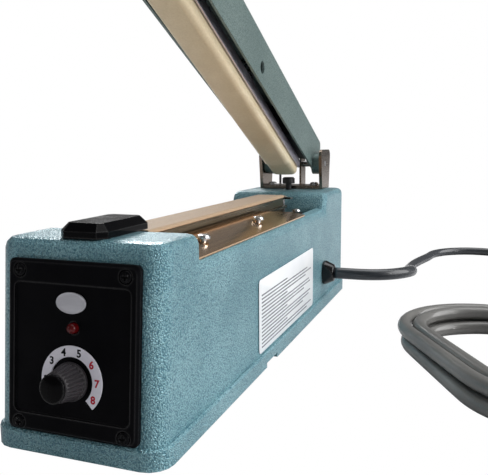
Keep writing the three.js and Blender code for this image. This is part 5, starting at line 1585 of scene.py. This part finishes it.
@dataclass
class ReleaseCloth:
    """The woven cloth stretched over the heated bar, and its tail down to the clamp."""

    front: float = -122.4
    rear: float = 84.2
    half: float = 10.3
    top: float = 84.9
    drop: float = 83.4
    corner: float = 1.3
    corner_points: int = 9
    over: float = 0.2
    thick: float = 0.4
    across_points: int = 61
    along_points: int = 260
    flat_share: float = 0.62
    sag: float = 0.05
    ribbon_rise: float = 0.1
    ribbon_half: float = 1.7
    slow_wave: tuple[float, float] = (0.03, 17.0)
    slant_wave: tuple[float, float] = (0.02, 6.1)
    crease_depth: float = 0.09
    crease_x: float = -3.4
    crease_half: float = 0.35
    tail_end: float = 100.2
    tail_half: float = 8.0
    tail_fall: float = 1.9
    tail_over: float = 0.15
    tail_gap: float = 0.02
    tail_points: tuple[int, int] = (24, 21)
    threads_across: float = 32.0
    threads_along: float = 4.5

    def build(self, shop: Shop) -> None:
        """Makes the cloth with its tail.

        Args:
            shop: puts the piece in the scene.
        """
        section = self.section()
        mesh = self.build_sheet(section)
        work = bmesh.new()
        work.from_mesh(mesh)
        work.from_mesh(self.build_tail())
        work.to_mesh(mesh)
        work.free()
        cloth = shop.put("release_cloth", mesh, CLOTH, Body.BASE, ("ptfe_cover",))

    def section(self) -> Array:
        """The cloth's middle line over the bar: flank, round corner, flat top and down again.

        Returns:
            (n, 2) points across and up, evenly spaced.
        """
        turn = np.linspace(0, math.pi / 2, self.corner_points)
        half, top, corner = self.half + self.over, self.top + self.over, self.corner
        right = np.column_stack([half - corner + corner * np.cos(turn),
                                 top - corner + corner * np.sin(turn)])
        left = right[::-1] * [-1, 1]
        return spaced(np.vstack([[half, self.drop], right, left, [-half, self.drop]]), self.across_points)

    def build_sheet(self, section: Array) -> bpy.types.Mesh:
        """The sheet: the section carried along the bar, with shallow waves and a crease by the ribbon.

        On the flat top the height is the section's, plus a low bump over the ribbon, plus two slow
        sines, less a narrow crease beside the ribbon and an even sag.

        Args:
            section: the cloth's middle line.

        Returns:
            Its mesh.
        """
        y = np.linspace(self.front, self.rear, self.along_points)[:, None]
        x = np.broadcast_to(section[None, :, 0], (len(y), len(section)))
        flat = np.exp(-((np.linspace(-1, 1, len(section)) / self.flat_share) ** 8))[None]
        ribbon = self.ribbon_rise * np.exp(-((x / self.ribbon_half) ** 4))
        wave = self.slow_wave[0] * np.sin(y / self.slow_wave[1])
        wave = wave + self.slant_wave[0] * np.sin(y / self.slant_wave[1] + x)
        crease = self.crease_depth * np.exp(-(((x - self.crease_x) / self.crease_half) ** 2))
        z = section[None, :, 1] + flat * (ribbon + wave - crease - self.sag)
        sheet = np.stack([x, np.broadcast_to(y, x.shape), z], -1)
        outward = unit(np.cross(unit(np.gradient(sheet, axis=1)), np.array([0.0, 1.0, 0.0])))
        return self.thick_mesh("cloth", sheet, outward)

    def build_tail(self) -> bpy.types.Mesh:
        """The tail: a flat strip that falls in a gentle S from the bar's end to the clamp.

        Returns:
            Its mesh.
        """
        along, across = self.tail_points
        y = np.linspace(self.rear + self.tail_gap, self.tail_end, along)
        fall = self.tail_fall * ease((y - self.rear) / (self.tail_end - self.rear))
        x = np.linspace(self.tail_half, -self.tail_half, across)
        y, x = np.meshgrid(y, x, indexing="ij")
        z = np.repeat((self.top + self.tail_over - fall)[:, None], across, 1)
        return self.thick_mesh("cloth_tail", np.stack([x, y, z], -1), np.array([0.0, 0.0, 1.0]))

    def thick_mesh(self, name: str, sheet: Array, outward: Array) -> bpy.types.Mesh:
        """A sheet with its thickness: half of it outside the middle surface and half inside.

        Args:
            name: the mesh's name.
            sheet: (rows, cols, 3) points of the middle surface in the body's frame.
            outward: the direction out of the sheet, one for all points or one for each.

        Returns:
            The closed mesh with its UV map.
        """
        step = 0.5 * self.thick * outward
        mesh = skin(name, BODY_FRAME.place(np.concatenate([sheet + step, (sheet - step)[:, ::-1]], axis=1)))
        self.map_threads(mesh)
        return mesh

    def map_threads(self, mesh: bpy.types.Mesh) -> None:
        """Lays the cloth's UV map: x less z goes across and y along, both times units a metre.

        Args:
            mesh: the cloth, in the row frame.
        """
        layer = mesh.uv_layers.new(name="UVMap")
        index = np.zeros(len(mesh.loops), np.int32)
        mesh.loops.foreach_get("vertex_index", index)
        x, y, z = vertex_places(mesh)[index].T
        uv = np.column_stack([(x - z) * self.threads_across, y * self.threads_along])
        layer.data.foreach_set("uv", uv.astype(np.float32).reshape(-1))


@dataclass
class SealBar:
    """The front cap, the heated bar with its ribbon and cloth, the side plates and the terminal."""

    screws: tuple[str, ...] = ("plate_screw_1", "plate_screw_2", "plate_screw_3", "plate_screw_4")

    def build(self, shop: Shop) -> None:
        """Dresses the rigid pieces and lays the cloth.

        Args:
            shop: puts the pieces in the scene.
        """
        shop.dress("front_cap", CAP_PLASTIC, soften_mm=0.8)
        shop.dress_all({"side_plate_left": PLATE_STAINLESS_PAINTED_REFLECTION, "side_plate_right": PLATE_STAINLESS_PAINTED_REFLECTION},
                       soften_mm=0.15)
        shop.dress_all({"seal_bar": BAR_ALUMINIUM_PAINTED_REFLECTION, "heating_element": RIBBON, "terminal_block": TERMINAL,
                        "terminal_screw": SCREW_CHROME, "cloth_clamp": CLAMP_STEEL}, soften_mm=0.2)
        shop.dress_all({screw: SCREW_CHROME for screw in self.screws}, soften_mm=0.2)
        ReleaseCloth().build(shop)


@dataclass
class HingeSet:
    """The hinge bracket, its screws and pin, and the wound return spring."""

    radius: float = 6.5
    wire: float = 1.0
    wire_sides: int = 14
    turns: int = 5
    points_per_turn: int = 40
    rest_deg: float = 65.3
    pitch: float = 2.6
    start: float = -14.0
    leg: float = 15.0
    leg_foot: float = 89.2
    step: float = 0.5
    section_up: tuple[float, float, float] = (1.0, 0.02, 0.01)

    def build(self, shop: Shop) -> None:
        """Dresses the bracket and winds the spring."""
        shop.dress_all({"hinge_bracket": BRACKET_CHROME_PAINTED_REFLECTION, "bracket_screw_1": SCREW_CHROME,
                        "bracket_screw_2": SCREW_CHROME, "hinge_pin": PIN_STEEL}, soften_mm=0.25)
        self.build_spring(shop)

    def build_spring(self, shop: Shop) -> None:
        """The return spring: a helix about the pin, one leg down to the bracket, one forward to the arm.

        Along the helix x grows by one pitch a turn while the point circles the pin.

        Args:
            shop: puts the piece in the scene.
        """
        back, up = HINGE_PIN
        sweep = 2 * math.pi * self.turns + math.radians(self.rest_deg)
        turn = np.linspace(0, sweep, int(self.points_per_turn * sweep / (2 * math.pi)) + 1)
        x = self.start + self.pitch * turn / (2 * math.pi)
        helix = np.stack([x, back + self.radius * np.cos(turn), up + self.radius * np.sin(turn)], -1)
        foot = [self.start, back + self.radius, self.leg_foot]
        tip = helix[-1] + self.leg * np.array([0.0, -math.sin(sweep), math.cos(sweep)])
        path = evenly(np.vstack([foot, helix, tip]), self.step)
        rings = tube_rings(path, self.wire, self.wire_sides, np.array(self.section_up))
        mesh = skin("return_spring", BODY_FRAME.place(rings))
        shop.put("return_spring_coil", mesh, SPRING_STEEL, Body.BASE, ("return_spring",))


@dataclass
class PressingArm:
    """The folded arm channel with its handle and the block in its mouth."""

    soften_mm: float = 0.4

    def build(self, shop: Shop) -> None:
        """Dresses the arm."""
        shop.dress("arm_channel", ARM_PAINT, self.soften_mm, angle=24.0)
        shop.dress_all({"arm_handle": HANDLE, "channel_block": BLOCK}, self.soften_mm)


@dataclass
class PressingPad:
    """The silicone pad along the pressure bar, in the arm's frame."""

    half: float = 10.0
    face: float = -20.9
    top: float = -8.5
    crown: float = 0.6
    corner: float = 3.6
    corner_steps: int = 10
    top_bevel: float = 0.3
    start: float = 23.0
    end: float = 269.02
    heel_end: float = 45.0
    heel_run: float = 1.5
    heel_rise: float = 1.2
    end_round: float = 1.2
    wave_height: float = 0.05
    wave_length: float = 9.0
    end_gap: float = 2.0
    step_gap: float = 0.2
    heel_points: int = 12
    step_points: int = 8
    long_points: int = 110

    def build(self, shop: Shop) -> None:
        """Makes the pad.

        Its section is carried along the arm. Both ends draw in by a quarter circle, the face waves a
        little by a sine along it, and the heel is thinner so that it clears the body.

        Args:
            shop: puts the piece in the scene.
        """
        section = self.section()
        lower = np.clip((self.top - section[:, 1]) / (self.top - self.face), 0, 1)
        section[:, 1] += self.crown * (np.abs(section[:, 0]) / self.half) ** 2 * lower
        along, inset = self.stations()
        middle = np.array([0.0, 0.5 * (self.face + self.top)])
        half_sizes = np.array([self.half, 0.5 * (self.top - self.face)])
        plan = middle + (section - middle)[None] * (1 - inset[:, None, None] / half_sizes)
        heel = self.heel_rise * ease(np.clip((self.heel_end + self.heel_run - along) / self.heel_run, 0, 1))
        lift = self.wave_height * np.sin(along / self.wave_length) + heel
        rings = np.stack([plan[..., 0], np.repeat(along[:, None], len(section), 1),
                          plan[..., 1] + lift[:, None] * lower[None]], -1)
        pad = shop.put("pressing_pad", skin("pad", ARM.place(rings)), SILICONE, Body.BAR, ("silicone_pad",))

    def section(self) -> Array:
        """The pad's section before its face is crowned: quarter circles at the face, bevels on top.

        Returns:
            (n, 2) points across and up, round the section from the middle of its face.
        """
        turn = self.quarter()
        flat = self.half - self.corner
        right = np.column_stack([flat + self.corner * np.sin(turn),
                                 self.face + self.corner - self.corner * np.cos(turn)])
        side = np.vstack([[[0.0, self.face], [0.5 * flat, self.face]], right,
                          [[self.half, self.top - self.top_bevel], [self.half - self.top_bevel, self.top]]])
        return np.vstack([side, side[:0:-1] * [-1, 1]])

    def stations(self) -> tuple[Array, Array]:
        """The sections' places along the arm, close together where the pad changes.

        Returns:
            The places, and how far each section is drawn in.
        """
        turn = self.quarter()
        ahead = self.end_round * (1 - np.cos(turn))
        step_end = self.heel_end + self.heel_run
        along = np.concatenate([
            self.start + ahead,
            np.linspace(self.start + self.end_gap, self.heel_end, self.heel_points),
            np.linspace(self.heel_end + self.step_gap, step_end, self.step_points),
            np.linspace(step_end + self.heel_run, self.end - self.end_gap, self.long_points),
            self.end - ahead[::-1]])
        inset = np.zeros(len(along))
        inset[:len(turn)] = self.end_round * (1 - np.sin(turn))
        inset[-len(turn):] = inset[:len(turn)][::-1]
        return along, inset

    def quarter(self) -> Array:
        """The angles of a quarter circle."""
        return np.linspace(0, math.pi / 2, self.corner_steps + 1)


@dataclass
class PressureSpring:
    """A compression spring on its stud, between the bar and the arm."""

    number: int
    radius: float = 4.6
    wire: float = 0.6
    wire_sides: int = 10
    turns: int = 8
    points_per_turn: int = 40
    ease_shares: tuple = ((0, 0), (0.13, 0.045), (0.87, 0.955), (1, 1))

    def build(self, shop: Shop) -> None:
        """Winds the spring: a helix whose end turns lie close to their seats.

        The height grows slowly over the first and last turn, so the end turns are flat.

        Args:
            shop: puts the piece in the scene.
        """
        node = f"pressure_spring_{self.number}"
        axes = np.array([ARM.x_axis, ARM.y_axis, ARM.z_axis])
        local = (vertex_places(shop.nodes[node].data) / MM - np.array(ARM.origin)) @ axes.T
        across, along, _ = 0.5 * (local.min(0) + local.max(0))
        low, high = local[:, 2].min() + self.wire, local[:, 2].max() - self.wire
        share = np.linspace(0, 1, self.points_per_turn * self.turns + 1)
        turn = 2 * math.pi * self.turns * share
        x = across + self.radius * np.cos(turn)
        y = along + self.radius * np.sin(turn)
        z = low + (high - low) * np.interp(share, *np.array(self.ease_shares).T)
        rings = tube_rings(np.stack([x, y, z], -1), self.wire, self.wire_sides, np.array([0.0, 0.0, 1.0]))
        mesh = skin(node, ARM.place(rings))
        coil = shop.put(f"pressure_coil_{self.number}", mesh, SPRING_STEEL, None, (node,))
        ends = [[0.0, y.mean(), end] for end in (low + self.wire, high - self.wire)]
        foot, head = ARM.place(np.array(ends))
        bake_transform(coil)


@dataclass
class PressureBar:
    """The sprung bar under the arm: its holder, the silicone pad, two studs and their springs."""

    studs: tuple[int, ...] = (1, 2)

    def build(self, shop: Shop) -> None:
        """Dresses the holder and makes the pad and the springs.

        Args:
            shop: puts the pieces in the scene.
        """
        shop.dress("pressure_bar", HOLDER_STEEL, soften_mm=0.35)
        shop.dress_all({f"guide_stud_{stud}": STUD_STEEL for stud in self.studs}, soften_mm=0.2)
        PressingPad().build(shop)
        for stud in self.studs:
            PressureSpring(stud).build(shop)


@dataclass
class InnerWorks:
    """The transformer, the switch, its lever and its plunger."""

    along: float = 10.0
    winding_half: tuple[float, float] = (21.0, 18.7)
    window_half: tuple[float, float] = (13.3, 9.8)
    window_corner: float = 0.4
    low: float = 11.6
    high: float = 39.0
    corner: float = 4.0
    rim: float = 1.2
    rim_gap: float = 0.01
    rim_proud: float = 0.35
    wire_pitch: float = 1.15
    wire_swell: float = 0.28
    levels: int = 240

    def build(self, shop: Shop) -> None:
        """Dresses the works and winds the transformer."""
        shop.dress_all({"transformer_core": CORE_STEEL, "micro_switch": SWITCH_PLASTIC,
                        "switch_lever": LEVER_STEEL, "switch_plunger": PLUNGER}, soften_mm=0.2)
        self.build_winding(shop)

    def build_winding(self, shop: Shop) -> None:
        """The winding: turns of wire between two bobbin rims, round the core's middle limb.

        Over the wound height the outline shrinks by the swell times one less the half circle of each
        wire, sqrt(1 - (2 share - 1) squared), so that every turn stands out as a round ridge.

        Args:
            shop: puts the piece in the scene.
        """
        rise = np.linspace(self.low + self.rim, self.high - self.rim, self.levels)
        share = np.mod((rise - rise[0]) / self.wire_pitch, 1.0)
        ridge = np.sqrt(np.clip(1 - (2 * share - 1) ** 2, 0, 1))
        dip = self.wire_swell * (1 - ridge) + self.rim_proud
        outer = np.vstack([
            [[0.0, self.low], [0.0, rise[0] - self.rim_gap]], np.column_stack([dip, rise]),
            [[0.0, rise[-1] + self.rim_gap], [0.0, self.high]]])
        half_x, half_y = self.winding_half
        outline = rounded_section(half_x, -half_y, half_y, self.corner)
        outside = outline[None] * (1 - outer[:, :1, None] / np.array([half_x, half_y]))
        window_x, window_y = self.window_half
        bore = rounded_section(window_x, -window_y, window_y, self.window_corner)
        heights = np.concatenate([outer[:, 1], [self.high, self.low]])
        plan = np.concatenate([outside, np.stack([bore, bore])])
        z = np.repeat(heights[:, None], plan.shape[1], 1)
        rings = BODY_FRAME.place(np.stack([plan[..., 0], plan[..., 1] + self.along, z], -1))
        shop.put("wire_winding", skin("winding", rings, Wrap.BOTH, caps=False), ENAMEL_WIRE, Body.BASE,
                 ("transformer_winding",))


@dataclass(frozen=True)
class Lamp:
    """A square soft lamp: its place and side in metres and its power in watts."""

    name: str
    place: tuple[float, float, float]
    power: float
    size: float


@dataclass
class Studio:
    """The floor, the lamps, the white surround and the camera. Places and sizes are in metres."""

    place: tuple[float, float, float] = (0.142307, -0.362513, 0.125898)
    yaw: float = 20.568
    pitch: float = -8.051
    roll: float = -0.492
    lens: float = 46.966
    shift: tuple[float, float] = (0.00814, -0.00393)
    sensor: float = 36.0
    nearest: float = 0.01
    floor_size: float = 8.0
    floor_points: int = 9
    floor_gap: float = 0.0002
    floor_dark: Colour = tint(204, 204, 206)
    floor_pale: Colour = tint(214, 214, 215)
    floor_scale: float = 1.5
    floor_detail: float = 2.0
    floor_span: tuple[float, float] = (0.3, 0.7)
    floor_rough: float = 0.9
    floor_shine: float = 0.1
    sky: float = 0.16
    aim: tuple[float, float, float] = (0.0, 0.0, 0.1)
    lamps: tuple[Lamp, ...] = (
        Lamp("front_lamp", (-1.9, -1.7, 1.0), 2.5, 0.2),
        Lamp("right_lamp", (2.7, 0.6, 1.5), 92.0, 2.7),
        Lamp("top_lamp", (0.3, 0.9, 3.0), 48.0, 2.4),
        Lamp("rear_lamp", (-1.5, 2.3, 1.15), 27.0, 0.7),
        Lamp("edge_lamp", (2.5, -0.9, 0.8), 6.0, 0.22),
    )

    def build(self) -> None:
        """Makes the camera, the floor, the surround and the lamps."""
        self.build_camera()
        self.build_floor()
        self.build_world()
        for lamp in self.lamps:
            self.build_lamp(lamp)
        bpy.context.scene.view_settings.view_transform = "Standard"

    def build_camera(self) -> None:
        """The photograph's camera: axes turned by yaw, then pitch, then roll."""
        yaw, pitch, roll = (math.radians(a) for a in (self.yaw, self.pitch, self.roll))
        level = Vector((-math.sin(yaw), math.cos(yaw), 0))
        right = Vector((math.cos(yaw), math.sin(yaw), 0))
        up = Vector((0, 0, 1))
        ahead = math.cos(pitch) * level + math.sin(pitch) * up
        above = -math.sin(pitch) * level + math.cos(pitch) * up
        side = math.cos(roll) * right + math.sin(roll) * above
        head = -math.sin(roll) * right + math.cos(roll) * above
        camera = bpy.data.objects.new("camera", bpy.data.cameras.new("camera"))
        turn = Matrix((side, head, -ahead)).transposed().to_4x4()
        camera.matrix_world = Matrix.Translation(Vector(self.place)) @ turn
        camera.data.lens = self.lens
        camera.data.sensor_width = self.sensor
        camera.data.sensor_fit = "HORIZONTAL"
        camera.data.shift_x, camera.data.shift_y = self.shift
        camera.data.clip_start = self.nearest
        bpy.context.scene.collection.objects.link(camera)
        bpy.context.scene.camera = camera

    def build_floor(self) -> None:
        """A wide pale floor with a slow drift of tone, plain white where the camera sees it."""
        half = self.floor_size / 2
        side = np.linspace(-half, half, self.floor_points)
        x, y = np.meshgrid(side, side, indexing="ij")
        mesh = put_mesh("floor", np.stack([x, y, np.full_like(x, -self.floor_gap)], -1).reshape(-1, 3),
                        [grid_quads(self.floor_points, self.floor_points, Wrap.OPEN)[:, ::-1]])
        material = bpy.data.materials.new("floor_paper")
        material.use_nodes = True
        graph = Graph(material.node_tree)
        drift = graph.noise(graph.object_place(), self.floor_scale, self.floor_detail).outputs["Fac"]
        colour = graph.mix(graph.spread(drift, self.floor_span), self.floor_dark, self.floor_pale)
        plain = graph.node("ShaderNodeBsdfPrincipled", {
            "Base Color": colour, "Roughness": self.floor_rough, "Specular IOR Level": self.floor_shine})
        glow = graph.node("ShaderNodeEmission", {"Color": WHITE, "Strength": 1.0})
        seen = graph.node("ShaderNodeLightPath").outputs["Is Camera Ray"]
        mixed = graph.node("ShaderNodeMixShader", {0: seen, 1: plain.outputs[0], 2: glow.outputs[0]})
        graph.node("ShaderNodeOutputMaterial", {"Surface": mixed.outputs[0]})
        mesh.materials.append(material)
        floor = bpy.data.objects.new("floor", mesh)
        bpy.context.scene.collection.objects.link(floor)

    def build_world(self) -> None:
        """A soft even sky that shows as plain white behind the object."""
        world = bpy.data.worlds.new("surround")
        bpy.context.scene.world = world
        world.use_nodes = True
        graph = Graph(world.node_tree)
        seen = graph.node("ShaderNodeLightPath").outputs["Is Camera Ray"]
        strength = graph.spread(seen, low=self.sky)
        light = graph.node("ShaderNodeBackground", {"Color": WHITE, "Strength": strength})
        graph.node("ShaderNodeOutputWorld", {"Surface": light.outputs[0]})

    def build_lamp(self, lamp: Lamp) -> None:
        """Hangs a lamp so that it looks at the object.

        Args:
            lamp: what it is.
        """
        data = bpy.data.lights.new(lamp.name, "AREA")
        data.energy = lamp.power
        data.size = lamp.size
        hung = bpy.data.objects.new(lamp.name, data)
        place = Vector(lamp.place)
        turn = (Vector(self.aim) - place).to_track_quat("-Z", "Y")
        hung.matrix_world = Matrix.Translation(place) @ turn.to_matrix().to_4x4()
        bpy.context.scene.collection.objects.link(hung)


def main() -> None:
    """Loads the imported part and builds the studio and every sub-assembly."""
    logging.basicConfig(level=logging.INFO, format="%(name)s: %(message)s")
    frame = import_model()
    shop = Shop(frame)
    Studio().build()
    MainsCord().build(shop)
    for assembly in (BodyShell(), ControlPanel(), TimerKnob(), SealBar(), HingeSet(), PressingArm(),
                     PressureBar(), InnerWorks()):
        LOG.info("building %s", type(assembly).__name__)
        assembly.build(shop)


if __name__ == "__main__":
    main()
